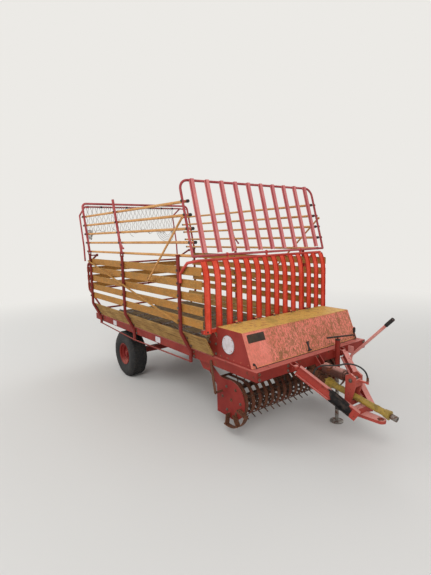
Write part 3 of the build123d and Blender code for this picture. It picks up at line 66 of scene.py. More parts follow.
# places in millimetres: ahead of the middle posts, to the left and up
REAR_PIN, FRONT_PIN, PIN_HEIGHT = -1266, 1811, 1940  # the extension's foot pins
POSTS = (REAR_PIN, 0, 1484)
DISC_X, DISC_Z = 2125, 1028
SLAT_TOPS = (1824, 1683, 1542, 1401, 1260)
BOLT_DROP = 47  # how far below a slat's top its bolts sit
PIPE_HEIGHTS = (2085, 2230, 2375, 2520)
LEAN = math.radians(15)
TUBE_GRIP = 0.0142  # inner radius, in metres, of what clasps the extension's round tubes
HOOD_FACE = Vector((334, 0, 133)).normalized()
SIDES = ((-1, "right"), (1, "left"))
X, Y, Z = Vector((1, 0, 0)), Vector((0, 1, 0)), Vector((0, 0, 1))


def linear(code):
    """Linear colour of an sRGB hex code."""
    parts = [int(code[i:i + 2], 16) / 255 for i in (1, 3, 5)]
    return tuple(c / 12.92 if c <= 0.04045 else ((c + 0.055) / 1.055) ** 2.4 for c in parts)


def at(x, y, z):
    """The point x mm ahead of the middle posts, y mm to the left and z mm up."""
    return Vector((MID + x / 1000, y / 1000, z / 1000))


def leaning(x, z):
    """How far ahead a post of the extension is at a height, when its foot pin is at x."""
    return x - (z - PIN_HEIGHT) * math.tan(LEAN)


class WagonColours(bpy.types.PropertyGroup):
    """Colours of the wagon's finishes."""

    red: FloatVectorProperty(name="Red", description="Enamel of frame, gate and rotor", subtype="COLOR",
                             default=linear("#7d2016"))
    faded: FloatVectorProperty(name="Faded red", description="Sun-bleached enamel of the front slats",
                               subtype="COLOR", default=linear("#cf7476"))
    hood: FloatVectorProperty(name="Hood", description="Salmon red of the hood's front", subtype="COLOR",
                              default=linear("#f28c7c"))
    ochre: FloatVectorProperty(name="Ochre", description="Enamel of the slats and braces", subtype="COLOR",
                               default=linear("#b07935"))
    grille: FloatVectorProperty(name="Grille", description="Orange red of the front grille", subtype="COLOR",
                                default=linear("#dc462b"))


class WagonSizes(bpy.types.PropertyGroup):
    """Sizes of the wagon's small hardware."""

    bolt: FloatProperty(name="Bolt head", description="Width of a bolt's head across its flats",
                        default=0.019, unit="LENGTH")
    rivet: FloatProperty(name="Rivet head", description="Diameter of a rivet's head", default=0.012,
                         unit="LENGTH")
    link: FloatProperty(name="Chain pitch", description="Pitch of the floor chains' links", default=0.028,
                        unit="LENGTH")
    cord: FloatProperty(name="Net cord", description="Diameter of the net's cord", default=0.0075,
                        unit="LENGTH")
    hose: FloatProperty(name="Oil hose", description="Diameter of the drawbar's oil hose", default=0.016,
                        unit="LENGTH")
    lugs: IntProperty(name="Tread lugs", description="Lugs round one row of a tyre", default=44)


# Nodes and materials


def node(tree, kind, inputs=None, **settings):
    """Adds a node; an input is a value, a hex colour, a node, a (node, output) pair or a list of nodes."""
    made = tree.nodes.new(kind)
    for key, value in settings.items():
        setattr(made, key, value)
    for key, value in (inputs or {}).items():
        socket = made.inputs[key]
        for source in value if isinstance(value, list) else [value]:
            if isinstance(source, bpy.types.Node):
                source = (source, 2 if source.bl_idname == "ShaderNodeMix" else 0)
            if isinstance(source, tuple) and isinstance(source[0], bpy.types.Node):
                tree.links.new(source[0].outputs[source[1]], socket)
            elif isinstance(source, str) and source.startswith("#"):
                socket.default_value = linear(source) + (1.0,)
            else:
                socket.default_value = source
    return made


def blank(name):
    """A new material, and the function that adds its nodes."""
    mat = bpy.data.materials.new(name)
    mat.use_nodes = True
    mat.node_tree.nodes.clear()
    return mat, functools.partial(node, mat.node_tree)


def coat(add, under, top, pattern, low, high, most=1.0):
    """One colour laid over another where a pattern rises from low to high."""
    share = add("ShaderNodeMapRange", {"Value": pattern, "From Min": low, "From Max": high, "To Max": most},
                interpolation_type="SMOOTHSTEP")
    return add("ShaderNodeMix", {0: share, 6: under, 7: top}, data_type="RGBA"), share


def surface(add, colour, rough, height, depth, strength=0.5, metallic=0.0, specular=0.5):
    """The shader at the end of a material, with its bump."""
    bump = add("ShaderNodeBump", {"Height": height, "Distance": depth, "Strength": strength})
    shader = add("ShaderNodeBsdfPrincipled", {"Base Color": colour, "Roughness": rough, "Metallic": metallic,
                                              "Specular IOR Level": specular, "Normal": bump})
    add("ShaderNodeOutputMaterial", {"Surface": shader})


def aged_enamel(name, base, bleached, rust=0.64, moss=None, tops=0.5, tops_tone="#c98a78", gloss=0.5,
                seed=0.0, stretch=(1, 1, 1), walls=None):
    """Brushed enamel left outdoors: bleached in clouds 0.3 m wide, lighter where it faces up (partly chalked by
    the sun, partly a painted highlight), darker on its sideways walls where asked (painted shade in its folds),
    with flakes of rust, and specks of lichen where asked."""
    mat, add = blank(name)
    coords = add("ShaderNodeTexCoord")
    moved = add("ShaderNodeMapping",
                {"Vector": (coords, "Object"), "Location": (seed, 2 * seed, -seed), "Scale": stretch})
    clouds, specks, flakes = (
        add("ShaderNodeTexNoise", {"Vector": moved, "Scale": scale, "Detail": detail, "Roughness": rough})
        for scale, detail, rough in ((3.4, 6.0, 0.62), (62.0, 6.0, 0.72), (15.0, 9.0, 0.74)))
    facing = add("ShaderNodeSeparateXYZ", {"Vector": (coords, "Normal")})
    colour, _ = coat(add, base, bleached, clouds, 0.38, 0.64)
    # faces that look up turn lighter: partly the sun's chalking, partly a painted highlight of the light from
    # above
    colour, _ = coat(add, colour, tops_tone, (facing, "Z"), 0.45, 0.95, tops)
    # walls that face sideways turn darker: painted shade in the folds of the slats
    if walls:
        sideways = add("ShaderNodeMath", {0: (facing, "Y")}, operation="ABSOLUTE")
        colour, _ = coat(add, colour, walls, sideways, 0.35, 0.8, 0.85)
    grain = add("ShaderNodeMapRange",
                {"Value": specks, "From Min": 0.3, "From Max": 0.7, "To Min": 0.80, "To Max": 1.12})
    colour = add("ShaderNodeMix", {0: 1.0, 6: colour, 7: grain}, data_type="RGBA", blend_type="MULTIPLY")
    if moss:
        lichen, low, tone = moss
        spread = add("ShaderNodeTexNoise", {"Vector": moved, "Scale": 24.0, "Detail": 7.0, "Roughness": 0.74})
        colour, _ = coat(add, colour, lichen, spread, low, low + 0.12, 0.45)
        colour, _ = coat(add, colour, tone, specks, 0.52, 0.66, 0.6)
    rusty, _ = coat(add, "#4a2413", "#80462a", specks, 0.42, 0.60)
    colour, bare = coat(add, colour, rusty, flakes, rust, rust + 0.05)
    rough = add("ShaderNodeMapRange", {"Value": specks, "To Min": gloss - 0.08, "To Max": gloss + 0.32})
    height = add("ShaderNodeMix", {0: bare, 6: (specks, 1), 7: (flakes, 1)}, data_type="RGBA")
    surface(add, colour, rough, height, 0.0012, 0.5, specular=0.3)
    return mat


def hood_enamel(name, front):
    """Sheet-steel enamel under lichen: salmon with fine brown-green specks on the front, a cleaner panel at
    its right end, an ochre crust on the flat top and dark red ends."""
    mat, add = blank(name)
    lo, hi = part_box("hood")
    coords = add("ShaderNodeTexCoord")
    spot = add("ShaderNodeSeparateXYZ", {"Vector": (coords, "Object")})
    facing = add("ShaderNodeSeparateXYZ", {"Vector": (coords, "Normal")})
    sideways = add("ShaderNodeMath", {0: (facing, "Y")}, operation="ABSOLUTE")
    tall = add("ShaderNodeMapping", {"Vector": (coords, "Object"), "Scale": (1.0, 1.0, 0.45)})
    # the last two are lichen specks 6 to 12 mm across and its crust, longer downwards where the rain runs
    clouds, flakes, specks, crust = (
        add("ShaderNodeTexNoise", {"Vector": vector, "Scale": scale, "Detail": detail, "Roughness": rough})
        for vector, scale, detail, rough in (
            ((coords, "Object"), 3.0, 6.0, 0.65), ((coords, "Object"), 12.0, 9.0, 0.76),
            (tall, 52.0, 7.0, 0.8), (tall, 15.0, 9.0, 0.82)))
    red, _ = coat(add, front, "#e47e6c", clouds, 0.40, 0.64)
    clean = add("ShaderNodeMapRange", {"Value": (spot, "Y"), "From Min": -0.60, "From Max": -0.52,
                                       "To Min": 0.35, "To Max": 1.0})
    damp = add("ShaderNodeMapRange", {"Value": (spot, "Z"), "From Min": hi[2], "From Max": lo[2],
                                      "To Min": 0.02, "To Max": 0.06})
    wetter = add("ShaderNodeMath", {0: specks, 1: damp}, operation="ADD")
    moss, _ = coat(add, red, "#9a6a45", wetter, 0.49, 0.60, 0.85)
    moss, _ = coat(add, moss, "#7c5f38", crust, 0.50, 0.60, 0.75)
    moss, _ = coat(add, moss, "#5c4630", wetter, 0.62, 0.72, 0.7)
    red = add("ShaderNodeMix", {0: clean, 6: red, 7: moss}, data_type="RGBA")
    ends, _ = coat(add, "#93322a", "#842a22", clouds, 0.40, 0.62)
    ends, _ = coat(add, ends, "#5a3226", crust, 0.60, 0.70, 0.5)
    colour, _ = coat(add, red, ends, sideways, 0.6, 0.9)
    top, _ = coat(add, "#c99b45", "#dcb35a", specks, 0.36, 0.62)
    top, _ = coat(add, top, "#a8683f", crust, 0.50, 0.60, 0.8)
    top, _ = coat(add, top, "#8e7a34", clouds, 0.52, 0.66, 0.5)
    colour, _ = coat(add, colour, top, (facing, "Z"), 0.6, 0.9)
    colour, _ = coat(add, colour, "#5a2a18", flakes, 0.665, 0.70)
    rough = add("ShaderNodeMapRange", {"Value": specks, "To Min": 0.45, "To Max": 0.9})
    surface(add, colour, rough, specks, 0.0015, 0.4, specular=0.25)
    return mat


def drawbar_enamel(name, red):
    """The frame's enamel, with 0.18 m of the near arm blackened by oil."""
    # its tops turn a pale pink: partly chalking, partly a painted highlight on the arms' top flanges
    mat = aged_enamel(name, red, "#b04f42", rust=0.585, tops=0.85, tops_tone="#e09a90", seed=3.0)
    add = functools.partial(node, mat.node_tree)
    shader = next(n for n in mat.node_tree.nodes if n.bl_idname == "ShaderNodeBsdfPrincipled")
    painted = shader.inputs["Base Color"].links[0].from_node
    coords = add("ShaderNodeTexCoord")
    spot = add("ShaderNodeSeparateXYZ", {"Vector": (coords, "Object")})
    ragged = add("ShaderNodeTexNoise", {"Vector": (coords, "Object"), "Scale": 24.0, "Detail": 5.0})
    along = add("ShaderNodeMath", {0: ragged, 1: 0.06, 2: (spot, "X")}, operation="MULTIPLY_ADD")
    start = add("ShaderNodeMapRange", {"Value": along, "From Min": MID + 2.945, "From Max": MID + 2.955})
    stop = add("ShaderNodeMapRange", {"Value": along, "From Min": MID + 3.135, "From Max": MID + 3.125})
    arm = add("ShaderNodeMapRange", {"Value": (spot, "Y"), "From Min": -0.14, "From Max": -0.16})
    both = add("ShaderNodeMath", {0: start, 1: stop}, operation="MULTIPLY")
    oiled = add("ShaderNodeMath", {0: both, 1: arm}, operation="MULTIPLY")
    dark, _ = coat(add, "#171515", "#3a302b", ragged, 0.45, 0.65)
    colour = add("ShaderNodeMix", {0: oiled, 6: painted, 7: dark}, data_type="RGBA")
    mat.node_tree.links.new(colour.outputs[2], shader.inputs["Base Color"])
    return mat


def sawn_spruce(name, base, dark, pale):
    """Sawn spruce boards under weather: grain a few millimetres wide along X, splits and paler patches."""
    mat, add = blank(name)
    coords = add("ShaderNodeTexCoord")
    long = add("ShaderNodeMapping", {"Vector": (coords, "Object"), "Scale": (0.05, 1.0, 1.0)})
    grain = add("ShaderNodeTexNoise", {"Vector": long, "Scale": 95.0, "Detail": 6.0, "Roughness": 0.66})
    split = add("ShaderNodeTexNoise", {"Vector": long, "Scale": 48.0, "Detail": 4.0, "Roughness": 0.8})
    patch = add("ShaderNodeTexNoise", {"Vector": (coords, "Object"), "Scale": 5.0, "Detail": 6.0,
                                       "Roughness": 0.65})
    colour, _ = coat(add, base, pale, patch, 0.38, 0.62)
    colour, _ = coat(add, colour, dark, grain, 0.47, 0.64, 0.8)
    colour, _ = coat(add, colour, "#1f1710", split, 0.66, 0.70)
    surface(add, colour, 0.86, grain, 0.003, 0.6, specular=0.2)
    return mat


def tyre_rubber(name, base):
    """Vulcanised tyre rubber, greyed by sun and dusted with soil in its pores."""
    mat, add = blank(name)
    coords = add("ShaderNodeTexCoord")
    patch, pores = (
        add("ShaderNodeTexNoise",
            {"Vector": (coords, "Object"), "Scale": scale, "Detail": detail, "Roughness": r})
        for scale, detail, r in ((9.0, 6.0, 0.7), (150.0, 4.0, 0.5)))
    colour, _ = coat(add, base, "#2d2a27", patch, 0.42, 0.70)
    colour, _ = coat(add, colour, "#453d33", pores, 0.54, 0.74, 0.7)
    surface(add, colour, 0.8, pores, 0.0008, 0.5)
    return mat


def worn_metal(name, base, rust, metallic, rough):
    """Rolled or cast steel that wear keeps bare in places and rust browns in patches elsewhere."""
    mat, add = blank(name)
    coords = add("ShaderNodeTexCoord")
    patch, grit = (
        add("ShaderNodeTexNoise",
            {"Vector": (coords, "Object"), "Scale": scale, "Detail": detail, "Roughness": r})
        for scale, detail, r in ((22.0, 8.0, 0.72), (130.0, 5.0, 0.5)))
    tone, _ = coat(add, "#3a1f14", "#7b4a2c", grit, 0.40, 0.62)
    colour, share = coat(add, base, tone, patch, 0.62 - 0.35 * rust, 0.76 - 0.35 * rust)
    shine = add("ShaderNodeMapRange", {"Value": share, "To Min": metallic, "To Max": 0.05})
    matt = add("ShaderNodeMapRange", {"Value": share, "To Min": rough, "To Max": 0.9})
    surface(add, colour, matt, grit, 0.0007, 0.55, shine)
    return mat


def moulded(name, base, dirt, rough=0.55, pores=180.0, share=0.7):
    """Moulded plastic or rubber, or braided cord, with dust lying in its pores."""
    mat, add = blank(name)
    coords = add("ShaderNodeTexCoord")
    patch, fine = (
        add("ShaderNodeTexNoise",
            {"Vector": (coords, "Object"), "Scale": scale, "Detail": detail, "Roughness": r})
        for scale, detail, r in ((18.0, 7.0, 0.72), (pores, 4.0, 0.5)))
    colour, _ = coat(add, base, dirt, patch, 0.46, 0.66, share)
    colour, _ = coat(add, colour, dirt, fine, 0.55, 0.75, 0.5)
    surface(add, colour, rough, fine, 0.0005, 0.5)
    return mat


def studio_paint(name, code, far):
    """Matt emulsion of the studio's floor with a roller's faint mottle, seen far off in the backdrop's tone."""
    mat, add = blank(name)
    coords = add("ShaderNodeTexCoord")
    mottle = add("ShaderNodeTexNoise", {"Vector": (coords, "Object"), "Scale": 40.0, "Detail": 3.0})
    bump = add("ShaderNodeBump", {"Height": mottle, "Distance": 0.0003, "Strength": 0.2})
    near = add("ShaderNodeBsdfPrincipled", {"Base Color": code, "Roughness": 0.92, "Normal": bump})
    reach = add("ShaderNodeVectorMath", {0: (coords, "Object")}, operation="LENGTH")
    away = add("ShaderNodeMapRange", {"Value": (reach, "Value"), "From Min": 4.5, "From Max": 11.0},
               interpolation_type="SMOOTHSTEP")
    path = add("ShaderNodeLightPath")
    share = add("ShaderNodeMath", {0: away, 1: (path, "Is Camera Ray")}, operation="MULTIPLY")
    glow = add("ShaderNodeEmission", {"Color": far})
    both = add("ShaderNodeMixShader", {0: share, 1: near, 2: glow})
    add("ShaderNodeOutputMaterial", {"Surface": both})
    return mat


def own_colour(key):
    """A colour of the panel as a socket takes it."""
    return tuple(getattr(bpy.context.scene.wagon_colours, key)) + (1.0,)


# each finish: what makes it, its material's name, a hex code or a colour of the panel, and what else it takes
FINISHES = {
    # enamels: brushed on steel, chalked by the sun; their tops carry a painted highlight,
    # and the side walls of the front slats and the grille carry painted shade
    "red": (aged_enamel, "red_enamel", "red", "#8c2c21", dict(rust=0.58, tops=0.7, tops_tone="#cf776c")),
    "post": (aged_enamel, "post_enamel", "#762420", "#86302a", dict(rust=0.60, seed=7.0, tops=0.3)),
    "hoop": (aged_enamel, "hoop_enamel", "#b5382c", "#cf5246",
             dict(rust=0.62, seed=8.0, tops=0.4, tops_tone="#dd7a6c")),
    "bow": (aged_enamel, "crimson_enamel", "#a03c3f", "#bb5c5c",
            dict(rust=0.62, seed=1.5, tops=0.4, tops_tone="#d98a86")),
    # the front slats' wall tone is painted shade on the walls of their folds
    "faded": (aged_enamel, "bleached_enamel", "faded", "#e08a86",
              dict(rust=0.67, seed=1.5, tops_tone="#e39c94", tops=0.3, walls="#9c3f42")),
    "pink": (aged_enamel, "pink_enamel", "#cf8077", "#dc9a90", dict(rust=0.66, seed=2.5, tops=0.3)),
    "ochre": (aged_enamel, "ochre_enamel", "ochre", "#a6702e",
              dict(rust=0.70, moss=("#7f6434", 0.47, "#bc8f4e"), gloss=0.6, tops=0.4, tops_tone="#a88a4c",
                   stretch=(0.4, 1, 1))),
    "pipe": (aged_enamel, "pipe_enamel", "#c98f52", "#dba468",
             dict(rust=0.62, moss=("#7a5c34", 0.52, "#b08452"), gloss=0.6, tops=0.3, tops_tone="#e0b47c")),
    # the grille's wall tone is painted shade on the walls of its channels
    "grille": (aged_enamel, "orange_red_enamel", "grille", "#ee5c45",
               dict(rust=0.70, gloss=0.42, tops=0.2, tops_tone="#f07a60", walls="#a81d10")),
    "hood": (hood_enamel, "hood_enamel", "hood"),
    "drawbar": (drawbar_enamel, "drawbar_enamel", "#a63c31"),
    "wheel": (aged_enamel, "wheel_enamel", "#7a1a14", "#8a291f", dict(rust=0.60, seed=4.0)),
    "black": (aged_enamel, "black_enamel", "#2a2320", "#463a2c", dict(rust=0.60, tops_tone="#4a4038")),
    "white": (moulded, "white_sheet_enamel", "#cdc6ca", "#a39a92", 0.45, 60.0, 0.5),
    # timber
    "board": (sawn_spruce, "weathered_spruce", "#95703f", "#5f4626", "#a9854e"),
    "floor": (sawn_spruce, "floor_spruce", "#5d4a33", "#352818", "#75613f"),
    # metals
    "steel": (worn_metal, "bare_steel", "#8d8a84", 0.45, 0.8, 0.45),
    "spring": (worn_metal, "spring_steel", "#5f5a54", 0.65, 0.7, 0.5),
    "band": (worn_metal, "rust_red_steel", "#6f251b", 0.75, 0.3, 0.6),
    "iron": (worn_metal, "rusty_iron", "#5b3a2a", 0.85, 0.4, 0.65),
    # the barrel's up-facing side in light pink over its dark brown is a painted highlight
    "casting": (aged_enamel, "cylinder_enamel", "#4d2f27", "#6a4034",
                dict(rust=0.54, tops=0.9, tops_tone="#c48f82", seed=6.0)),
    "bolt": (worn_metal, "plated_bolt_steel", "#6f6a62", 0.6, 0.7, 0.45),
    "dark_iron": (worn_metal, "oiled_dark_steel", "#2c2826", 0.35, 0.4, 0.55),
    # rubber, plastic and cord
    "tyre": (tyre_rubber, "tyre_rubber", "#151517"),
    "yellow": (moulded, "yellow_polyethylene", "#a18436", "#63501f", 0.55, 90.0),
    "rubber": (moulded, "black_rubber", "#141313", "#332e29", 0.6),
    "cord": (moulded, "grey_polypropylene_cord", "#a9a7a0", "#74726a", 0.85, 320.0, 0.5),
}
MADE = {}

DRESS = {
    "red": ("chassis_frame", "cross_members", "floor_bearers", "axle", "frame_brackets", "front_cheeks",
            "tailgate", "feed_rotor", "jack_tube"),
    "hoop": ("front_hoop",),
    "post": ("side_posts_left", "side_posts_right"),
    "bow": ("ext_front_frame", "ext_mid_posts", "ext_rear_hoop", "rear_bow"),
    "faded": ("ext_front_slats",),
    "pink": ("brake_lever",),
    "ochre": ("side_slats_left", "side_slats_right", "tailgate_slats", "side_braces"),
    "pipe": ("ext_stays", "ext_pipes_1", "ext_pipes_2", "ext_pipes_3", "ext_pipes_4", "top_pipes"),
    "grille": ("front_grille",),
    "hood": ("hood",),
    "drawbar": ("drawbar",),
    "board": ("side_boards_left", "side_boards_right"),
    "floor": ("load_floor",),
    "tyre": ("tyre_left", "tyre_right"),
    # the pickup's sides share the rims' deep red, darker than the frame's red: partly their own paint, partly
    # painted shade
    "wheel": ("rim_left", "rim_right", "pickup_sides"),
    "band": ("stripper_bands",),
    "steel": ("scraper_chains_left", "scraper_chains_right", "floor_shafts", "feed_channel", "cylinder_rod",
              "pto_yoke", "jack_leg"),
    "spring": ("pickup_reel",),
    "iron": ("pickup_skids", "pickup_straps", "gearbox"),
    "casting": ("cylinder_barrel",),
    "yellow": ("pto_guard",),
    "rubber": ("drawbar_hose",),
    "white": ("hood_disc", "blank_plates"),
}


def material(key):
    """The finish of that name, made when it is first asked for."""
    if key not in MADE:
        make, name, base, *rest = FINISHES[key]
        named = rest.pop() if rest and isinstance(rest[-1], dict) else {}
        base = base if base.startswith("#") else own_colour(base)
        MADE[key] = make(name, base, *rest, **named)
    return MADE[key]


# Placing and shaping


def place(name, mesh, key, body, slot, *replaced):
    """Makes a mesh a piece that rides on a body, with its finish; its slot is not used."""
    obj = bpy.data.objects.new(name, mesh)
    bpy.context.scene.collection.objects.link(obj)
    mesh.materials.clear()
    mesh.materials.append(material(key))
    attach(obj, body)
    if replaced:
        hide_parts(*replaced)
    return obj


@functools.lru_cache(maxsize=None)
def skin(name):
    """A CAD node's faces, to be met by a ray."""
    mesh = NODES[name].data
    return BVHTree.FromPolygons([v.co for v in mesh.vertices], [p.vertices[:] for p in mesh.polygons])


def seat(name, x, y, z, aim, reach=90):
    """Where a fastener put on a node from outside, near that place, meets its surface."""
    aim = Vector(aim).normalized()
    hit = skin(name).ray_cast(at(x, y, z) + aim * reach / 1000, -aim, 2 * reach / 1000)[0]
    if hit is None:
        raise RuntimeError(f"nothing of {name} lies at {x}, {y}, {z}")
    return hit, aim, (aim.orthogonal() if abs(aim.z) > 0.9 else Z.cross(aim)).normalized()


def rings_of(bm, rings, closed, caps=True):
    """Faces between rings of corners; a ring of one corner is a pole."""
    for a, b in zip(rings, rings[1:] + (rings[:1] if closed else [])):
        for k in range(max(len(a), len(b))):
            corners = [a[k % len(a)], a[(k + 1) % len(a)], b[(k + 1) % len(b)], b[k % len(b)]]
            bm.faces.new(list(dict.fromkeys(corners)))
    if caps and not closed:
        for ring in (rings[0][::-1], rings[-1]):
            if len(ring) > 2:
                bm.faces.new(ring)


def tube(bm, points, radius, sides=10, closed=False):
    """A round bar along points, with one radius or one for each point."""
    points = [Vector(p) for p in points]
    count = len(points)
    radii = radius if isinstance(radius, (list, tuple)) else [radius] * count
    rings, side, before = [], None, None
    for i, point in enumerate(points):
        back = points[i - 1] if i or closed else point
        front = points[(i + 1) % count] if i < count - 1 or closed else point
        way = (front - back).normalized()
        side = way.orthogonal() if side is None else before.rotation_difference(way) @ side
        side = (side - way * side.dot(way)).normalized()
        up, before = way.cross(side), way
        turns = [2 * math.pi * k / sides for k in range(sides)]
        rings.append([bm.verts.new(point + (side * math.cos(t) + up * math.sin(t)) * radii[i])
                      for t in turns])
    rings_of(bm, rings, closed)


def turned(bm, profile, start, axis, steps=28, closed=False):
    """A shape turned about an axis; the profile is (distance along it, radius) pairs."""
    axis = Vector(axis).normalized()
    side = axis.orthogonal().normalized()
    up = axis.cross(side)
    rings = []
    for along, radius in profile:
        turns = [2 * math.pi * k / steps for k in range(steps)] if radius > 1e-6 else [0]
        rings.append([bm.verts.new(start + axis * along + (side * math.cos(t) + up * math.sin(t)) * radius)
                      for t in turns])
    rings_of(bm, rings, closed)


def swept(bm, outline, frames):
    """An outline carried through frames, each an origin and the outline's two directions there."""
    rings_of(bm, [[bm.verts.new(o + u * a + v * b) for a, b in outline] for o, u, v in frames], False)


def add_shape(bm, shape, matrix, edge):
    """Bevels a small shape's edges, sets it in its place and adds it to a piece."""
    if edge:
        bmesh.ops.bevel(shape, geom=shape.edges[:], offset=edge, segments=2, profile=0.5, affect="EDGES")
    bmesh.ops.transform(shape, matrix=matrix, verts=shape.verts[:])
    mesh = bpy.data.meshes.new("shape")
    shape.to_mesh(mesh)
    shape.free()
    bm.from_mesh(mesh)
    bpy.data.meshes.remove(mesh)


def block(bm, size, centre, u=X, v=Y, edge=0.0015):
    """A block with rounded edges; u and v are its first two directions."""
    shape = bmesh.new()
    bmesh.ops.create_cube(shape, size=1)
    bmesh.ops.scale(shape, vec=size, verts=shape.verts[:])
    matrix = Matrix((u, v, u.cross(v))).transposed().to_4x4()
    matrix.translation = centre
    add_shape(bm, shape, matrix, edge)


def plate(bm, outline, thick, origin, u, v, edge=0.0006):
    """An outline in the plane of u and v, as thick as asked on the side of u x v."""
    shape = bmesh.new()
    face = shape.faces.new([shape.verts.new((a, b, 0)) for a, b in outline])
    grown = bmesh.ops.extrude_face_region(shape, geom=[face])["geom"]
    bmesh.ops.translate(shape, vec=(0, 0, thick),
                        verts=[g for g in grown if isinstance(g, bmesh.types.BMVert)])
    bmesh.ops.recalc_face_normals(shape, faces=shape.faces[:])
    matrix = Matrix((u, v, u.cross(v))).transposed().to_4x4()
    matrix.translation = origin
    add_shape(bm, shape, matrix, edge)


def meshed(bm, name, angle=35):
    """Ends a piece: doubles merged, faces outward, smooth but for its sharp edges."""
    bmesh.ops.remove_doubles(bm, verts=bm.verts[:], dist=1e-6)
    bmesh.ops.recalc_face_normals(bm, faces=bm.faces[:])
    mesh = bpy.data.meshes.new(name)
    bm.to_mesh(mesh)
    bm.free()
    mesh.shade_smooth()
    mesh.set_sharp_from_angle(angle=math.radians(angle))
    return mesh


def piece(bm, name, key, body, slot, *replaced, angle=35):
    """Ends a piece and places it."""
    return place(name, meshed(bm, name, angle), key, body, slot, *replaced)


def collar(bm, spot, axis, half, inner, outer, steps, ease=0.0):
    """A ring about an axis, as wide as twice half, with its outer edges eased."""
    turned(bm, [(-half, inner), (ease - half, outer), (half - ease, outer), (half, inner)], spot, axis, steps,
           closed=True)


# Geometry Nodes: shapes on spots, and shapes repeated across


def new_tree(name, sizes):
    """A tree with named inputs for its sizes and its finish."""
    tree = bpy.data.node_groups.new(name, "GeometryNodeTree")
    tree.is_modifier = True
    tree.interface.new_socket(name="Geometry", in_out="INPUT", socket_type="NodeSocketGeometry")
    for label, value in sizes.items():
        kind = "NodeSocketInt" if isinstance(value, int) else "NodeSocketFloat"
        tree.interface.new_socket(name=label, in_out="INPUT", socket_type=kind).default_value = value
    tree.interface.new_socket(name="Finish", in_out="INPUT", socket_type="NodeSocketMaterial")
    tree.interface.new_socket(name="Geometry", in_out="OUTPUT", socket_type="NodeSocketGeometry")
    add = functools.partial(node, tree)
    return tree, add, add("NodeGroupInput")


def on_spots(add, given, shape):
    """Ends a tree: the shape stands on every spot, its Z along aim and its X along the spot's way."""
    aim = add("GeometryNodeInputNamedAttribute", {"Name": "aim"}, data_type="FLOAT_VECTOR")
    way = add("GeometryNodeInputNamedAttribute", {"Name": "way"}, data_type="FLOAT_VECTOR")
    turn = add("FunctionNodeAlignRotationToVector", {"Vector": aim}, axis="Z")
    turn = add("FunctionNodeAlignRotationToVector", {"Rotation": turn, "Vector": way}, axis="X",
               pivot_axis="Z")
    stood = add("GeometryNodeInstanceOnPoints", {"Points": (given, "Geometry"), "Instance": shape,
                                                 "Rotation": turn})
    real = add("GeometryNodeRealizeInstances", {"Geometry": stood})
    ready = add("GeometryNodeSetMaterial", {"Geometry": real, "Material": (given, "Finish")})
    add("NodeGroupOutput", {"Geometry": ready})


def stacked_tree(name, label, size, layers):
    """Coaxial layers in shares of one size: (sides, lower radius, upper radius, height, middle's height)."""
    tree, add, given = new_tree(name, {label: size})
    shapes = []
    for sides, low, high, height, middle in layers:
        cone = add("GeometryNodeMeshCone",
                   {"Vertices": sides, "Radius Bottom": low, "Radius Top": high, "Depth": height})
        shapes.append(add("GeometryNodeTransform",
                          {"Geometry": cone, "Translation": (0, 0, middle - height / 2)}))
    whole = add("GeometryNodeJoinGeometry", {"Geometry": shapes})
    scale = add("ShaderNodeCombineXYZ", {0: (given, label), 1: (given, label), 2: (given, label)})
    on_spots(add, given, add("GeometryNodeTransform", {"Geometry": whole, "Scale": scale}))
    return tree


def rivet_tree():
    """Domed rivet heads, half sunk."""
    tree, add, given = new_tree("rivet_heads", {"Diameter": 0.012})
    dome = add("GeometryNodeMeshUVSphere", {"Segments": 10, "Rings": 6, "Radius": 0.5})
    flat = add("ShaderNodeCombineXYZ", {0: (given, "Diameter"), 1: (given, "Diameter"),
                                        2: (given, "Diameter")})
    low = add("ShaderNodeVectorMath", {0: flat, 1: (1, 1, 0.6)}, operation="MULTIPLY")
    on_spots(add, given, add("GeometryNodeTransform", {"Geometry": dome, "Scale": low}))
    return tree


def lug_tree():
    """Tread lugs: tapered rubber blocks."""
    tree, add, given = new_tree("tread_lugs", {"Length": 0.05, "Width": 0.03, "Height": 0.012})
    cone = add("GeometryNodeMeshCone", {"Vertices": 4, "Radius Bottom": 0.7071, "Radius Top": 0.58,
                                        "Depth": 1.0})
    square = add("GeometryNodeTransform", {"Geometry": cone, "Rotation": (0, 0, math.pi / 4)})
    size = add("ShaderNodeCombineXYZ", {0: (given, "Width"), 1: (given, "Length"), 2: (given, "Height")})
    on_spots(add, given, add("GeometryNodeTransform", {"Geometry": square, "Scale": size}))
    return tree


def link_tree():
    """Welded chain links of round wire."""
    tree, add, given = new_tree("chain_links", {"Pitch": 0.028, "Wire": 0.0055})
    ring = add("GeometryNodeCurvePrimitiveCircle", {"Resolution": 10, "Radius": (given, "Pitch")})
    oval = add("GeometryNodeTransform", {"Geometry": ring, "Scale": (0.62, 0.27, 1.0)})
    half = add("ShaderNodeMath", {0: (given, "Wire"), 1: 0.5}, operation="MULTIPLY")
    wire = add("GeometryNodeCurvePrimitiveCircle", {"Resolution": 4, "Radius": half})
    on_spots(add, given, add("GeometryNodeCurveToMesh", {"Curve": oval, "Profile Curve": wire}))
    return tree


def coil_tree():
    """Coils of spring wire round a tine bar."""
    tree, add, given = new_tree("tine_coils", {"Radius": 0.017, "Wire": 0.005, "Width": 0.022})
    coil = add("GeometryNodeCurveSpiral", {"Resolution": 9, "Rotations": 2.5,
                                           "Start Radius": (given, "Radius"), "End Radius": (given, "Radius"),
                                           "Height": (given, "Width")})
    half = add("ShaderNodeMath", {0: (given, "Wire"), 1: 0.5}, operation="MULTIPLY")
    wire = add("GeometryNodeCurvePrimitiveCircle", {"Resolution": 4, "Radius": half})
    round_bar = add("GeometryNodeCurveToMesh", {"Curve": coil, "Profile Curve": wire, "Fill Caps": True})
    on_spots(add, given, round_bar)
    return tree


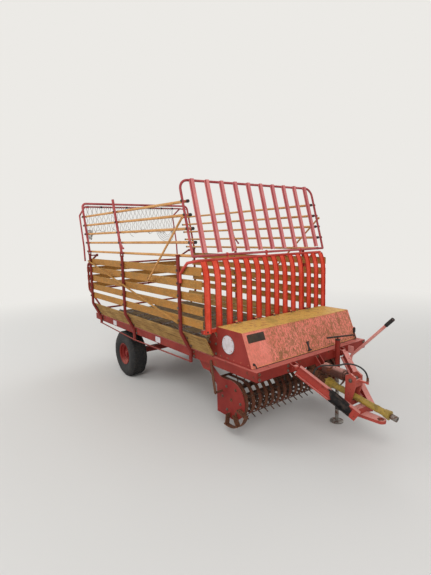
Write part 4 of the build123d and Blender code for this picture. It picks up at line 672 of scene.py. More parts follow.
def repeat_tree():
    """The given shape repeated across the wagon about its middle."""
    tree, add, given = new_tree("repeated_across", {"Count": 10, "Pitch": 0.2})
    less = add("ShaderNodeMath", {0: (given, "Count"), 1: 1.0}, operation="SUBTRACT")
    span = add("ShaderNodeMath", {0: less, 1: (given, "Pitch")}, operation="MULTIPLY")
    half = add("ShaderNodeMath", {0: span, 1: -0.5}, operation="MULTIPLY")
    first = add("ShaderNodeCombineXYZ", {"Y": half})
    step = add("ShaderNodeCombineXYZ", {"Y": (given, "Pitch")})
    line = add("GeometryNodeMeshLine", {"Count": (given, "Count"), "Start Location": first, "Offset": step})
    row = add("GeometryNodeInstanceOnPoints", {"Points": line, "Instance": (given, "Geometry")})
    real = add("GeometryNodeRealizeInstances", {"Geometry": row})
    ready = add("GeometryNodeSetMaterial", {"Geometry": real, "Material": (given, "Finish")})
    add("NodeGroupOutput", {"Geometry": ready})
    return tree


TREES = {
    "bolt": lambda: stacked_tree("bolt_heads", "Width", 0.019,
                                 ((14, 0.90, 0.86, 0.14, 0.07), (6, 0.577, 0.577, 0.44, 0.35),
                                  (6, 0.577, 0.46, 0.10, 0.62))),
    "rivet": rivet_tree,
    "lug": lug_tree,
    "link": link_tree,
    "coil": coil_tree,
    "repeat": repeat_tree,
}
GROWN = {}


def grow(name, kind, source, sizes, key, body, slot, *replaced):
    """Runs a tree on a mesh, or on (point, aim, way) spots, and keeps the result as a plain mesh."""
    if kind not in GROWN:
        GROWN[kind] = TREES[kind]()
    tree = GROWN[kind]
    if isinstance(source, list):
        mesh = bpy.data.meshes.new(name + "_spots")
        mesh.from_pydata([s[0] for s in source], [], [])
        for i, label in ((1, "aim"), (2, "way")):
            layer = mesh.attributes.new(label, "FLOAT_VECTOR", "POINT")
            layer.data.foreach_set("vector", [c for s in source for c in s[i]])
        source = mesh
    seed = bpy.data.objects.new(name + "_seed", source)
    bpy.context.scene.collection.objects.link(seed)
    mod = seed.modifiers.new("grow", "NODES")
    mod.node_group = tree
    values = dict(sizes, Finish=material(key))
    for item in tree.interface.items_tree:
        if item.in_out == "INPUT" and item.name in values:
            mod[item.identifier] = values[item.name]
    mesh = bpy.data.meshes.new_from_object(seed.evaluated_get(bpy.context.evaluated_depsgraph_get()))
    if not mesh.polygons:
        raise RuntimeError(f"{name} came out empty")
    mesh.name = name
    seed.modifiers.clear()
    bpy.data.objects.remove(seed)
    mesh.shade_smooth()
    mesh.set_sharp_from_angle(angle=math.radians(40))
    return place(name, mesh, key, body, slot, *replaced)


def corded(name, routes, radius, roundness, steps):
    """A curve of round cord along smooth routes."""
    curve = bpy.data.curves.new(name, "CURVE")
    curve.dimensions = "3D"
    curve.bevel_depth = radius
    curve.bevel_resolution = roundness
    curve.resolution_u = steps
    curve.use_fill_caps = True
    for route in routes:
        spline = curve.splines.new("NURBS")
        spline.points.add(len(route) - 1)
        for point, spot in zip(spline.points, route):
            point.co = tuple(spot) + (1.0,)
        spline.order_u = 3
        spline.use_endpoint_u = True
    return curve


def flowing(name, routes, radius):
    """Plain mesh of round cord along smooth routes."""
    seed = bpy.data.objects.new(name + "_seed", corded(name, routes, radius, 1, 4))
    bpy.context.scene.collection.objects.link(seed)
    mesh = bpy.data.meshes.new_from_object(seed.evaluated_get(bpy.context.evaluated_depsgraph_get()))
    bpy.data.objects.remove(seed)
    mesh.name = name
    return mesh


# Operators, in the order in which they are run


class WAGON_OT_stage(bpy.types.Operator):
    """Builds the floor, the light and the camera"""

    bl_idname = "wagon.stage"
    bl_label = "Stage"

    def execute(self, context):
        scene = context.scene
        scene.view_settings.view_transform = "Standard"
        bpy.ops.mesh.primitive_plane_add(size=80, location=(0, 0, 0))
        floor = context.object
        floor.name = "studio_floor"
        floor.data.materials.append(studio_paint("studio_floor_paint", "#d9d8d5", "#eceae6"))

        world = bpy.data.worlds.new("studio_sky")
        scene.world = world
        world.use_nodes = True
        tree = world.node_tree
        tree.nodes.clear()
        path = node(tree, "ShaderNodeLightPath")
        seen = node(tree, "ShaderNodeMath", {0: (path, "Is Camera Ray"), 1: (path, "Is Glossy Ray")},
                    operation="MAXIMUM")
        soft = node(tree, "ShaderNodeBackground", {"Color": "#ffffff", "Strength": 0.62})
        pale = node(tree, "ShaderNodeBackground", {"Color": "#eceae6", "Strength": 1.0})
        mix = node(tree, "ShaderNodeMixShader", {0: seen, 1: soft, 2: pale})
        node(tree, "ShaderNodeOutputWorld", {"Surface": mix})

        for name, spot, size, power in (
            ("key_light", (7.5, -7.0, 8.5), 5.0, 520),
            ("fill_light", (-6.0, -8.0, 5.0), 6.0, 260),
            ("back_light", (-5.0, 7.5, 7.0), 5.0, 260),
        ):
            lamp = bpy.data.lights.new(name, "AREA")
            lamp.size = size
            lamp.energy = power
            obj = bpy.data.objects.new(name, lamp)
            scene.collection.objects.link(obj)
            obj.location = spot
            obj.rotation_euler = (Vector((0, 0, 1.2)) - Vector(spot)).to_track_quat("-Z", "Y").to_euler()

        focal_pixels, photo_height = 396.2, 575
        cam = bpy.data.cameras.new("photo_camera")
        cam.sensor_fit = "VERTICAL"
        cam.sensor_height = 36
        cam.lens = focal_pixels / photo_height * cam.sensor_height
        cam.clip_end = 200
        obj = bpy.data.objects.new("photo_camera", cam)
        scene.collection.objects.link(obj)
        look = Vector((-0.7916, 0.5965, -0.1316)).normalized()
        right = look.cross(Z).normalized()
        up = right.cross(look)
        roll = -0.028
        right, up = (right * math.cos(roll) + up * math.sin(roll),
                     up * math.cos(roll) - right * math.sin(roll))
        turn = Matrix((right, up, -look)).transposed().to_4x4()
        obj.matrix_world = Matrix.Translation((MID + 5.231, -3.353, 2.157)) @ turn
        scene.camera = obj
        return {"FINISHED"}


class WAGON_OT_hose(bpy.types.Operator):
    """Lays the oil hose between the drawbar's two elbows, with its ferrules"""

    bl_idname = "wagon.hose"
    bl_label = "Oil hose"

    def execute(self, context):
        size = context.scene.wagon_sizes.hose
        route = [(2742, -278.5, 690), (2742, -278.5, 734), (2744, -256, 778), (2758, -216, 808),
                 (2792, -168, 820), (2848, -124, 820), (2912, -92, 832), (2974, -66, 858), (3042, -40, 864),
                 (3102, -16, 846), (3146, 4, 808), (3166, 14, 756), (3166, 14, 716)]
        curve = corded("oil_hose", [[at(*spot) for spot in route]], size / 2, 4, 8)
        hose = bpy.data.objects.new("oil_hose", curve)
        context.scene.collection.objects.link(hose)
        curve.materials.append(material("rubber"))
        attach(hose, "drawbar")
        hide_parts("drawbar_hose")
        bm = bmesh.new()
        for spot in (route[0], route[-1]):
            # crimped ferrule with a hexagon below it
            turned(bm, [(0.001, 0.0085), (0.001, 0.0118), (0.006, 0.0125), (0.009, 0.0112), (0.013, 0.0125),
                        (0.017, 0.0112), (0.021, 0.0125), (0.025, 0.0112), (0.030, 0.0120), (0.032, 0.0085)],
                   at(*spot), Z, 20, closed=True)
            turned(bm, [(-0.011, 0.009), (-0.011, 0.0125), (-0.010, 0.0135), (-0.001, 0.0135), (0.0, 0.0125),
                        (0.0, 0.009)], at(*spot), Z, 6, closed=True)
        ferrules = piece(bm, "hose_ferrules", "bolt", "drawbar", "bare_steel")
        return {"FINISHED"}


class WAGON_OT_finishes(bpy.types.Operator):
    """Gives every CAD node its finish"""

    bl_idname = "wagon.finishes"
    bl_label = "Finishes"

    def execute(self, context):
        for key, names in DRESS.items():
            for name in names:
                NODES[name].data.materials.clear()
                NODES[name].data.materials.append(material(key))
        return {"FINISHED"}


class WAGON_OT_tyres(bpy.types.Operator):
    """Builds both tyres with tread lugs and side ribs"""

    bl_idname = "wagon.tyres"
    bl_label = "Tyres"

    def execute(self, context):
        count = context.scene.wagon_sizes.lugs
        # (metres from the middle plane, radius) from the bead over wall and shoulder to the tread's middle
        half = [(0.086, 0.1525), (0.099, 0.1525), (0.107, 0.168), (0.117, 0.188), (0.121, 0.197),
                (0.1235, 0.198), (0.1240, 0.204), (0.1275, 0.214), (0.1300, 0.228), (0.1315, 0.240),
                (0.1326, 0.262), (0.1310, 0.284), (0.1306, 0.289), (0.1285, 0.292), (0.1262, 0.302),
                (0.120, 0.316), (0.108, 0.330), (0.096, 0.340), (0.082, 0.3445), (0.060, 0.3460),
                (0.056, 0.3400), (0.050, 0.3400), (0.046, 0.3462), (0.010, 0.3465)]
        for sign, side in SIDES:
            hub = at(-451, sign * 783, 355)
            profile = half + [(-a, r) for a, r in reversed(half)] + [(-0.080, 0.182), (0.080, 0.182)]
            bm = bmesh.new()
            turned(bm, profile, hub, Y, 88, closed=True)
            piece(bm, f"tyre_carcass_{side}", "tyre", f"wheel_{side}", "tyre_rubber", f"tyre_{side}",
                  angle=28)
            spots = []
            for row, shift in ((-0.078, 0.0), (-0.024, 0.5), (0.024, 0.0), (0.078, 0.5)):
                for k in range(count):
                    turn = 2 * math.pi * (k + shift) / count
                    out = Vector((math.cos(turn), 0, math.sin(turn)))
                    spots.append((hub + out * (0.341 if abs(row) > 0.05 else 0.3425) + Y * row,
                                  out, Y.cross(out)))
            grow(f"tyre_lugs_{side}", "lug", spots, {"Length": 0.040, "Width": 0.030, "Height": 0.0115},
                 "tyre", f"wheel_{side}", "tyre_rubber")
        return {"FINISHED"}


class WAGON_OT_bolts(bpy.types.Operator):
    """Sets the bolt heads of the wagon, its extension, gate, pickup, hood and drawbar"""

    bl_idname = "wagon.bolts"
    bl_label = "Bolts"

    def execute(self, context):
        width = context.scene.wagon_sizes.bolt
        rows = {body: [] for body in ("wagon", "ext_front", "ext_middle", "ext_rear", "tailgate", "pickup",
                                      "hood", "drawbar")}
        wagon = rows["wagon"]
        for sign, side in SIDES:
            out = (0, sign, 0)
            for x in POSTS:
                for top in SLAT_TOPS:
                    wagon.append(seat(f"side_posts_{side}", x, sign * 1040, top - BOLT_DROP, out))
                    wagon.append(seat(f"side_slats_{side}", x, sign * 1010, top - BOLT_DROP, (0, -sign, 0)))
                for z in (915, 1012):
                    for shift in (-44, 44):
                        wagon.append(seat(f"side_boards_{side}", x + shift, sign * (898 + (z - 872) * 0.56),
                                          z, (0, sign * 0.894, -0.448)))
                for shift in (-42, 42):
                    for z in (778, 826):
                        wagon.append(seat("chassis_frame", x + shift, sign * 895, z, out))
            for x in (1790, 1900, 2010, 2120):
                for z in (882, 990):
                    wagon.append(seat("front_cheeks", x, sign * 858, z, out))
            for z in PIPE_HEIGHTS:
                rows["ext_front"].append(seat("ext_front_frame", leaning(FRONT_PIN, z), sign * 1060, z, out))
                rows["ext_middle"].append(seat("ext_mid_posts", leaning(0, z), sign * 1040, z, out))
                rows["ext_rear"].append(seat("ext_rear_hoop", leaning(REAR_PIN, z), sign * 1040, z, out))
            for top in (1655, 1514, 1373):
                for shift in (-22, 22):
                    rows["tailgate"].append(seat("tailgate_slats", -1774, sign * 905, top - BOLT_DROP + shift,
                                                 (-1, 0, 0)))
            for turn in range(0, 360, 60):
                rows["pickup"].append(seat("pickup_sides", 2080 + 150 * math.cos(math.radians(turn)),
                                           sign * 804, 400 + 150 * math.sin(math.radians(turn)), out))
        for n in range(14):
            wagon.append((at(1889.6, (n - 6.5) * 147, 1132), X, Y))
        for y in (-462, -338, 338, 462, -860, 860, 0):
            for z in (776, 826):
                wagon.append(seat("chassis_frame", 2576, y, z, X))
        for y in (-68, 68):
            for z in (548, 640):
                wagon.append(seat("gearbox", 2640, y, z, X))
        for y in (0, -294, 294, -588, 588):
            for shift in (-22, 22):
                rows["hood"].append(seat("hood", 1962, y + shift, 1196, Z))
        for sign in (-1, 1):
            rows["drawbar"].append(seat("drawbar", 3030, sign * 64, 700, (0, sign, 0)))
        for body, spots in rows.items():
            grow(f"bolts_{body}", "bolt", spots, {"Width": width}, "bolt", body, "bare_steel")
        return {"FINISHED"}


class WAGON_OT_rivets(bpy.types.Operator):
    """Sets the rivets of the hood, its disc and the side plates"""

    bl_idname = "wagon.rivets"
    bl_label = "Rivets"

    def execute(self, context):
        width = context.scene.wagon_sizes.rivet
        hood = [seat("hood", 2470, y, 876, HOOD_FACE) for y in range(-820, 821, 164)]
        hood += [seat("hood", 2360, y, 1165, HOOD_FACE) for y in range(-820, 821, 328)]
        for sign in (-1, 1):
            hood += [seat("hood", x, sign * 870, 882, (0, sign, 0)) for x in range(1990, 2440, 110)]
        hood += [seat("hood_disc", DISC_X + 82 * math.cos(t), -871, DISC_Z + 82 * math.sin(t), (0, -1, 0))
                 for t in (0.785, 2.356, 3.927, 5.498)]
        plates = [seat("blank_plates", x + a, -896, 801 + b, (0, -1, 0), 30)
                  for x in (669, -740) for a in (-57, 57) for b in (-29, 29)]
        grow("rivets_hood", "rivet", hood, {"Diameter": width}, "hood", "hood", "red_paint")
        grow("rivets_plates", "rivet", plates, {"Diameter": width * 0.7}, "bolt", "wagon", "bare_steel")
        return {"FINISHED"}


class WAGON_OT_grille(bpy.types.Operator):
    """Rolls the grille's channel slats, which curve back under the hoop, on their foot angle"""

    bl_idname = "wagon.grille"
    bl_label = "Front grille"

    def execute(self, context):
        face = [(1890, 1110), (1890, 1300), (1890, 1500), (1890, 1630), (1888, 1680), (1883, 1728),
                (1874, 1774), (1862, 1816), (1848, 1852), (1833, 1881)]
        points = [at(x, 0, z) for x, z in face]
        frames = []
        for i, point in enumerate(points):
            way = (points[min(i + 1, len(points) - 1)] - points[max(i - 1, 0)]).normalized()
            frames.append((point, -Y, -Y.cross(way)))
        channel = [(-38, -22), (-37, -7), (-31, -1.8), (-15, 0), (15, 0), (31, -1.8), (37, -7), (38, -22),
                   (35.4, -22), (34.4, -8.4), (29, -4.2), (14, -2.4), (-14, -2.4), (-29, -4.2), (-34.4, -8.4),
                   (-35.4, -22)]
        bm = bmesh.new()
        swept(bm, [(a / 1000, b / 1000) for a, b in channel], frames)
        grow("front_grille_slats", "repeat", meshed(bm, "front_grille_slat", 50),
             {"Count": 14, "Pitch": 0.147}, "grille", "wagon", "orange_paint", "front_grille")
        bm = bmesh.new()
        angle = [(1838.5, 1110), (1870, 1110), (1870, 1150), (1865, 1150), (1865, 1115), (1838.5, 1115)]
        origin = at(0, 995, 0)
        plate(bm, [(a / 1000, b / 1000) for a, b in angle], 1.990, origin, X, Z)
        piece(bm, "front_grille_foot", "grille", "wagon", "orange_paint")
        return {"FINISHED"}


class WAGON_OT_front_slats(bpy.types.Operator):
    """Folds the hat-shaped slats of the front frame and clips them to its top tube"""

    bl_idname = "wagon.front_slats"
    bl_label = "Front slats"

    def execute(self, context):
        up = Vector((-math.sin(LEAN), 0, math.cos(LEAN)))
        ahead = Vector((math.cos(LEAN), 0, math.sin(LEAN)))
        hat = [(-35, 0), (-35, 2.6), (-25, 2.6), (-20, 21), (20, 21), (25, 2.6), (35, 2.6), (35, 0),
               (22.6, 0), (17.6, 18.4), (-17.6, 18.4), (-22.6, 0)]
        foot = at(FRONT_PIN, 0, PIN_HEIGHT) + ahead * 0.0143 + up * 0.024
        bm = bmesh.new()
        plate(bm, [(y / 1000, d / 1000) for y, d in hat], 0.819, foot, -Y, ahead, 0)
        grow("front_hat_slats", "repeat", meshed(bm, "front_hat_slat", 20), {"Count": 10, "Pitch": 0.202},
             "faded", "ext_front", "faded_red_paint", "ext_front_slats")
        # a strap round the top tube at each slat, with its nut above
        top = at(1595, 0, 2745)
        bm = bmesh.new()
        collar(bm, top, Y, 0.009, TUBE_GRIP, 0.0175, 20)
        turned(bm, [(0.012, 0.0), (0.012, 0.006), (0.0195, 0.006), (0.0195, 0.0)], top, ahead, 6)
        turned(bm, [(0.0145, 0.0), (0.0145, 0.0085), (0.0185, 0.0085), (0.0185, 0.0)], top, -ahead, 6)
        grow("front_slat_clips", "repeat", meshed(bm, "front_slat_clip"), {"Count": 10, "Pitch": 0.202},
             "dark_iron", "ext_front", "rusty_iron")
        return {"FINISHED"}


class WAGON_OT_pipe_ends(bpy.types.Operator):
    """Plugs the pipes' ends"""

    bl_idname = "wagon.pipe_ends"
    bl_label = "Pipe ends"

    def execute(self, context):
        runs = [("wagon", PIN_HEIGHT, -1466, 1789)]
        runs += [(f"pipes_{n}", z, leaning(REAR_PIN, z) - 200, leaning(FRONT_PIN, z) + 16)
                 for n, z in enumerate(PIPE_HEIGHTS, 1)]
        for body, z, back, front in runs:
            bm = bmesh.new()
            for sign in (-1, 1):
                for x, way in ((front, X), (back, -X)):
                    turned(bm, [(-0.030, 0.0161), (-0.030, 0.0178), (-0.002, 0.0178), (0.0022, 0.0150),
                                (0.0022, 0.0), ], at(x, sign * 997, z), way, 18)
            piece(bm, f"pipe_plugs_{body}", "dark_iron", body, "rusty_iron")
        return {"FINISHED"}


class WAGON_OT_net(bpy.types.Operator):
    """Hangs the cord net from the rear bow's top bar"""

    bl_idname = "wagon.net"
    bl_label = "Net"

    def execute(self, context):
        radius = context.scene.wagon_sizes.cord / 2
        rng = random.Random(11)
        x, top, rows, drop = -1600, 2693, 6, 66
        count, first, pitch = 44, -930, 40
        routes, feet = [], []
        for n in range(count):
            slack = 1 + 0.10 * math.sin(n * 0.9) + rng.uniform(-0.04, 0.04)
            lean = rng.uniform(-7, 7)
            y = first + n * pitch
            # over the bar and down, swinging to its neighbours by turns
            route = [at(x + 12, y, top - 26), at(x + 17, y, top - 6), at(x + 8, y, top + 17),
                     at(x - 8, y, top + 17), at(x - 17, y, top - 6), at(x - 8, y, top - 30)]
            for r in range(1, rows + 1):
                swing = (pitch * 0.47) * (1 if (r + n) % 2 else -1)
                route.append(at(x + rng.uniform(-8, 8), y + swing + lean * r / rows,
                                top - 30 - r * drop * slack))
            feet.append(route[-1])
            routes.append(route)
        # the foot cord runs from strand to strand in shallow bights
        foot = []
        for a, b in zip(feet, feet[1:]):
            foot += [a, (a + b) / 2 - Z * rng.uniform(0.008, 0.024)]
        routes.append(foot + [feet[-1]])
        # a snarl under the right-hand end, nested loops under the left-hand end and one loose strand
        for n in range(6):
            y = -948 + n * 13
            low = 2158 - 14 * (n % 3) - rng.uniform(0, 20)
            routes.append([at(x, y, 2300), at(x + 10, y + rng.uniform(-18, 18), 2240),
                           at(x - 6, y + 22, low + 20), at(x + 4, y + rng.uniform(-10, 34), low),
                           at(x, y + 40, 2230), at(x, y + 30, 2302)])
        for n in range(5):
            low = 2056 + 30 * n
            left, right = 424 + 30 * n, 780 - 12 * n
            routes.append([at(x, left - 24, 2290), at(x - 4, left - 6, 2230), at(x + 6, left + 40, low + 74),
                           at(x + 3 * n, (left + right) / 2 - 20, low), at(x - 6, right - 50, low + 4),
                           at(x, right, low + 60), at(x, right - 4, 2230), at(x, right - 14, 2290)])
        routes.append([at(x, -160, 2290), at(x + 6, -150, 2240), at(x - 8, -120, 2190), at(x, -76, 2168)])
        net = place("bow_net", flowing("bow_net", routes, radius), "cord", "rear_bow", "bare_steel")
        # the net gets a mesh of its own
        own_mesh(net)
        # dark lashings hold the net to the bar
        bm = bmesh.new()
        for n in range(0, count, 6):
            turned(bm, [(-0.017, TUBE_GRIP), (-0.015, 0.0185), (-0.006, 0.0172), (0.0, 0.0190),
                        (0.007, 0.0172), (0.015, 0.0185), (0.017, TUBE_GRIP)],
                   at(x, first + n * pitch + 26, top), Y, 14, closed=True)
        piece(bm, "bow_lashings", "rubber", "rear_bow", "black_rubber", angle=60)
        return {"FINISHED"}


class WAGON_OT_hood_fittings(bpy.types.Operator):
    """Adds the hood's edge beads, blank plate, seal, rubber latch, corner hooks and disc edge"""

    bl_idname = "wagon.hood_fittings"
    bl_label = "Hood fittings"

    def execute(self, context):
        slope = HOOD_FACE.cross(Y)
        slope = slope if slope.z > 0 else -slope
        bm = bmesh.new()
        for sign in (-1, 1):
            y = sign * 866
            tube(bm, [at(1950, y, 1186), at(2343, y, 1186), at(2476, y, 856)], 0.0045, 8)
        tube(bm, [at(2344, -866, 1186.5), at(2344, 866, 1186.5)], 0.0045, 8)
        tube(bm, [at(2476, -866, 857), at(2476, 866, 857)], 0.0045, 8)
        piece(bm, "hood_edge_beads", "hood", "hood", "red_paint", angle=50)
        bm = bmesh.new()
        spot = seat("hood", 2380, -705, 1128, HOOD_FACE)[0]
        plate(bm, [(-0.116, -0.043), (0.116, -0.043), (0.116, 0.043), (-0.116, 0.043)],
              0.003, spot, Y, slope, 0.0009)
        piece(bm, "hood_blank_plate", "black", "hood", "red_paint")
        # rubber seal on the beam's top, under the hood's lower edge
        bm = bmesh.new()
        block(bm, (0.026, 1.620, 0.0045), at(2475, 0, 850.2), X, Y, 0.001)
        piece(bm, "hood_seal", "rubber", "wagon", "black_rubber")
        # rubber latch: a strap with a waist, a bracket above and a cross grip below
        bm = bmesh.new()
        spot = seat("hood", 2450, -4, 912, HOOD_FACE)[0]
        plate(bm, [(-0.019, -0.040), (-0.013, -0.020), (-0.011, 0.010), (-0.016, 0.034), (-0.016, 0.046),
                   (0.016, 0.046), (0.016, 0.034), (0.011, 0.010), (0.013, -0.020), (0.019, -0.040)],
              0.007, spot, Y, slope, 0.0016)
        grip = spot - slope * 0.044 + HOOD_FACE * 0.007
        turned(bm, [(-0.030, 0.0), (-0.030, 0.006), (-0.022, 0.0072), (0.022, 0.0072), (0.030, 0.006),
                    (0.030, 0.0)], grip, Y, 14)
        piece(bm, "hood_latch_strap", "rubber", "hood", "black_rubber")
        bm = bmesh.new()
        block(bm, (0.046, 0.014, 0.011), spot + slope * 0.048 + HOOD_FACE * 0.0035, Y, slope)
        for sign in (-1, 1):
            high = seat("hood", 2466, sign * 826, 892, HOOD_FACE)[0]
            tube(bm, [high, high + HOOD_FACE * 0.018, high + HOOD_FACE * 0.025 - Z * 0.012,
                      at(2497, sign * 822, 866), at(2501, sign * 818, 859)], 0.006, 10)
            turned(bm, [(0.0, 0.0), (0.0, 0.013), (0.004, 0.013), (0.006, 0.010), (0.006, 0.0)],
                   high, HOOD_FACE, 14)
        piece(bm, "hood_hooks", "dark_iron", "hood", "rusty_iron")
        bm = bmesh.new()
        turned(bm, [(-0.0005, 0.0958), (0.0, 0.1000), (0.0032, 0.1000), (0.0038, 0.0986), (0.0032, 0.0966)],
               at(DISC_X, -870.4, DISC_Z), -Y, 56, closed=True)
        piece(bm, "hood_disc_edge", "black", "hood", "white_plate")
        return {"FINISHED"}


class WAGON_OT_drawbar_fittings(bpy.types.Operator):
    """Adds the drawbar's pins, eye bush, cylinder bands and shaft-guard rings"""

    bl_idname = "wagon.drawbar_fittings"
    bl_label = "Drawbar fittings"

    def execute(self, context):
        bm = bmesh.new()
        turned(bm, [(-0.0172, 0.0202), (-0.0172, 0.0290), (-0.0158, 0.0305), (0.0158, 0.0305),
                    (0.0172, 0.0290), (0.0172, 0.0202)], at(3320, 0, 372), Z, 36, closed=True)
        for sign in (-1, 1):
            # pin heads of the arms' hinges and of the cylinder's head
            head = seat("drawbar", 3030, sign * 64, 700, Y * sign)[0]
            for hit, r in ((at(2615, sign * 428, 800), 0.024), (head, 0.021)):
                turned(bm, [(0.0, 0.0), (0.0, r), (0.007, r), (0.009, r * 0.8), (0.009, 0.0)],
                       hit, Y * sign, 20)
        piece(bm, "drawbar_pins", "bolt", "drawbar", "bare_steel")
        axis = (at(3030, 0, 700) - at(2640, 0, 730)).normalized()
        root = at(2640, 0, 730)
        bm = bmesh.new()
        for along in (0.046, 0.262):
            collar(bm, root + axis * along, axis, 0.009, 0.0558, 0.0585, 40, 0.001)
        piece(bm, "cylinder_bands", "casting", "barrel", "rusty_iron")
        start, end = at(2684, 0, 590), at(3480, 0, 440)
        axis = (end - start).normalized()
        bm = bmesh.new()
        for along in (0.20, 0.215, 0.40, 0.415, 0.60, 0.615):
            collar(bm, start + axis * along, axis, 0.005, 0.0318, 0.0345, 32, 0.001)
        piece(bm, "guard_rings", "yellow", "drive_shaft", "yellow_guard")
        return {"FINISHED"}


class WAGON_OT_handles(bpy.types.Operator):
    """Adds the jack's crank sleeve and cap and the brake lever's ribbed grip"""

    bl_idname = "wagon.handles"
    bl_label = "Handles"

    def execute(self, context):
        bm = bmesh.new()
        tube(bm, [at(2559, 183, 994), at(2679, 511, 994)], 0.0102, 14)
        turned(bm, [(-0.012, 0.0), (-0.012, 0.010), (-0.006, 0.0125), (0.004, 0.0125), (0.010, 0.0102),
                    (0.030, 0.0102), (0.036, 0.0140), (0.055, 0.0155), (0.075, 0.0150), (0.086, 0.0110),
                    (0.0895, 0.0)], at(2679, 511, 994), Z, 18)
        turned(bm, [(-0.004, 0.0), (-0.004, 0.0290), (0.004, 0.0290), (0.008, 0.0240), (0.010, 0.0)],
               at(2606, 312, 960), Z, 28)
        piece(bm, "jack_crank_sleeve", "dark_iron", "wagon", "rusty_iron")
        way = (at(3108, 560, 1234) - at(2754, 560, 867)).normalized()
        profile = [(-0.116, 0.0198), (-0.114, 0.0215)]
        for n in range(9):
            profile += [(-0.108 + n * 0.012, 0.0212), (-0.102 + n * 0.012, 0.0203)]
        profile += [(-0.002, 0.0214), (0.0005, 0.0190), (0.0012, 0.0)]
        bm = bmesh.new()
        turned(bm, profile, at(3108, 560, 1234), way, 22)
        piece(bm, "brake_lever_grip", "rubber", "wagon", "black_rubber")
        return {"FINISHED"}


class WAGON_OT_chains(bpy.types.Operator):
    """Builds the floor's chains link by link, with their flights"""

    bl_idname = "wagon.chains"
    bl_label = "Floor chains"

    def execute(self, context):
        pitch = context.scene.wagon_sizes.link
        back, front, centre, radius = -1382, 1790, 803.65, 0.0775
        straight = (front - back) / 1000
        whole = 2 * straight + 2 * math.pi * radius
        count = 2 * round(whole / pitch / 2)
        for sign, side in SIDES:
            spots = []
            for y in (200, 520):
                for n in range(count):
                    s = whole * n / count
                    if s < straight:
                        spot, way = at(back, sign * y, centre) + X * s + Z * radius, X
                    elif s < straight + math.pi * radius:
                        turn = (s - straight) / radius
                        out = X * math.sin(turn) + Z * math.cos(turn)
                        spot = at(front, sign * y, centre) + out * radius
                        way = X * math.cos(turn) - Z * math.sin(turn)
                    elif s < 2 * straight + math.pi * radius:
                        gone = s - straight - math.pi * radius
                        spot, way = at(front, sign * y, centre) - X * gone - Z * radius, -X
                    else:
                        turn = (s - 2 * straight) / radius
                        out = X * math.sin(turn) + Z * math.cos(turn)
                        # known fault: minus sets these links at the shaft's front, plus would at its back
                        spot = at(back, sign * y, centre) - out * radius
                        way = X * math.cos(turn) - Z * math.sin(turn)
                    spots.append((spot, way.cross(Y) + Y * (1 if n % 2 else -1), way))
            grow(f"floor_chains_{side}", "link", spots, {"Pitch": pitch, "Wire": 0.0055}, "steel", "wagon",
                 "bare_steel", f"scraper_chains_{side}")
            bm = bmesh.new()
            angle = [(-17, 0), (17, 0), (17, 4), (-13, 4), (-13, 16), (-17, 16)]
            for n in range(7):
                for x, z, down in ((-1306 + 420 * (n + 0.6), 877.3, 1), (1714 - 420 * (n + 0.5), 730, -1)):
                    plate(bm, [(a / 1000, b / 1000) for a, b in angle], 0.450,
                          at(x, sign * 360 + (225 if down > 0 else -225), z), X, Z * down)
            piece(bm, f"floor_flights_{side}", "steel", "wagon", "bare_steel")
        return {"FINISHED"}


class WAGON_OT_tines(bpy.types.Operator):
    """Winds the tines' coils round the reel's bars"""

    bl_idname = "wagon.tines"
    bl_label = "Tine coils"

    def execute(self, context):
        spots = []
        for bar in range(5):
            turn = math.radians(18 + 72 * bar)
            for n in range(16):
                y = (n - 7.5) * 95
                spots.append((at(2080, y - 11, 400) + Vector((math.cos(turn), 0, math.sin(turn))) * 0.120,
                              Y, X))
        grow("tine_coils", "coil", spots, {"Radius": 0.0165, "Wire": 0.005, "Width": 0.022}, "spring", "reel",
             "spring_steel")
        return {"FINISHED"}


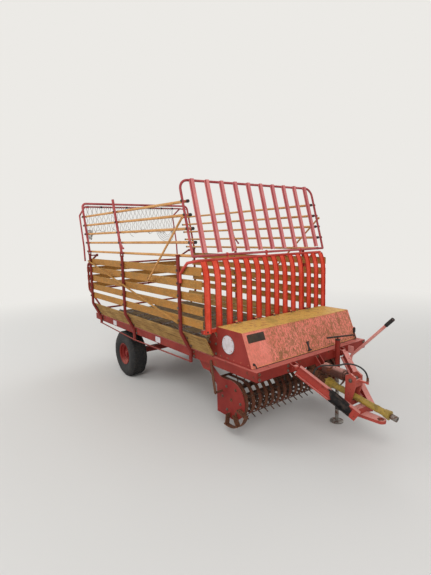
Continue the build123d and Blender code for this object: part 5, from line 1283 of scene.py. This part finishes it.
class WAGON_OT_rigging(bpy.types.Operator):
    """Adds the stays' rings and hooks and the middle posts' catches"""

    bl_idname = "wagon.rigging"
    bl_label = "Rigging"

    def execute(self, context):
        bm = bmesh.new()
        for sign in (-1, 1):
            # eye and hook at the stay's foot
            centre = at(889, sign * 1104, 1648)
            ring = [centre + Vector((math.cos(t), 0, math.sin(t))) * 0.019 for t in
                    (2 * math.pi * k / 16 for k in range(16))]
            tube(bm, ring, 0.0045, 8, closed=True)
            tube(bm, [at(887, sign * 1104, 1632), at(884, sign * 1104, 1612), at(878, sign * 1104, 1596),
                      at(884, sign * 1104, 1584), at(893, sign * 1104, 1588)], 0.0045, 8)
        piece(bm, "stay_hooks", "iron", "stays", "rusty_iron", angle=60)
        bm = bmesh.new()
        for sign in (-1, 1):
            # short catch on the middle post: a flat bar with a turned toe
            top, toe = at(-44, sign * 1046, 2118), at(72, sign * 1046, 2006)
            way = (toe - top).normalized()
            block(bm, ((toe - top).length, 0.026, 0.008), (top + toe) / 2, way, way.cross(Y), 0.0015)
            tube(bm, [toe - Y * 0.012, toe + Y * 0.012], 0.012, 14)
            collar(bm, at(leaning(0, 2118), sign * 1040, 2118), Vector((-math.sin(LEAN), 0, math.cos(LEAN))),
                   0.016, 0.0182, 0.0215, 22)
        piece(bm, "middle_post_catches", "bow", "ext_middle", "faded_red_paint")
        return {"FINISHED"}


class WAGON_PT_panel(bpy.types.Panel):
    """Lists the steps and the sizes of the wagon"""

    bl_label = "Forage Wagon"
    bl_idname = "WAGON_PT_panel"
    bl_space_type = "VIEW_3D"
    bl_region_type = "UI"
    bl_category = "Forage Wagon"

    def draw(self, context):
        for cls in STEPS:
            self.layout.operator(cls.bl_idname)
        for group in (context.scene.wagon_colours, context.scene.wagon_sizes):
            for key in group.bl_rna.properties.keys():
                if key not in ("rna_type", "name"):
                    self.layout.prop(group, key)


STEPS = (WAGON_OT_stage, WAGON_OT_hose, WAGON_OT_finishes, WAGON_OT_tyres, WAGON_OT_bolts, WAGON_OT_rivets,
         WAGON_OT_grille, WAGON_OT_front_slats, WAGON_OT_pipe_ends, WAGON_OT_net, WAGON_OT_hood_fittings,
         WAGON_OT_drawbar_fittings, WAGON_OT_handles, WAGON_OT_chains, WAGON_OT_tines, WAGON_OT_rigging)
CLASSES = (WagonColours, WagonSizes) + STEPS + (WAGON_PT_panel,)


def register():
    for cls in CLASSES:
        bpy.utils.register_class(cls)
    bpy.types.Scene.wagon_colours = PointerProperty(type=WagonColours)
    bpy.types.Scene.wagon_sizes = PointerProperty(type=WagonSizes)


def unregister():
    del bpy.types.Scene.wagon_sizes
    del bpy.types.Scene.wagon_colours
    for cls in reversed(CLASSES):
        bpy.utils.unregister_class(cls)


def main():
    """Runs every step in order."""
    register()
    for cls in STEPS:
        group, name = cls.bl_idname.split(".")
        getattr(getattr(bpy.ops, group), name)()


if __name__ == "__main__":
    main()
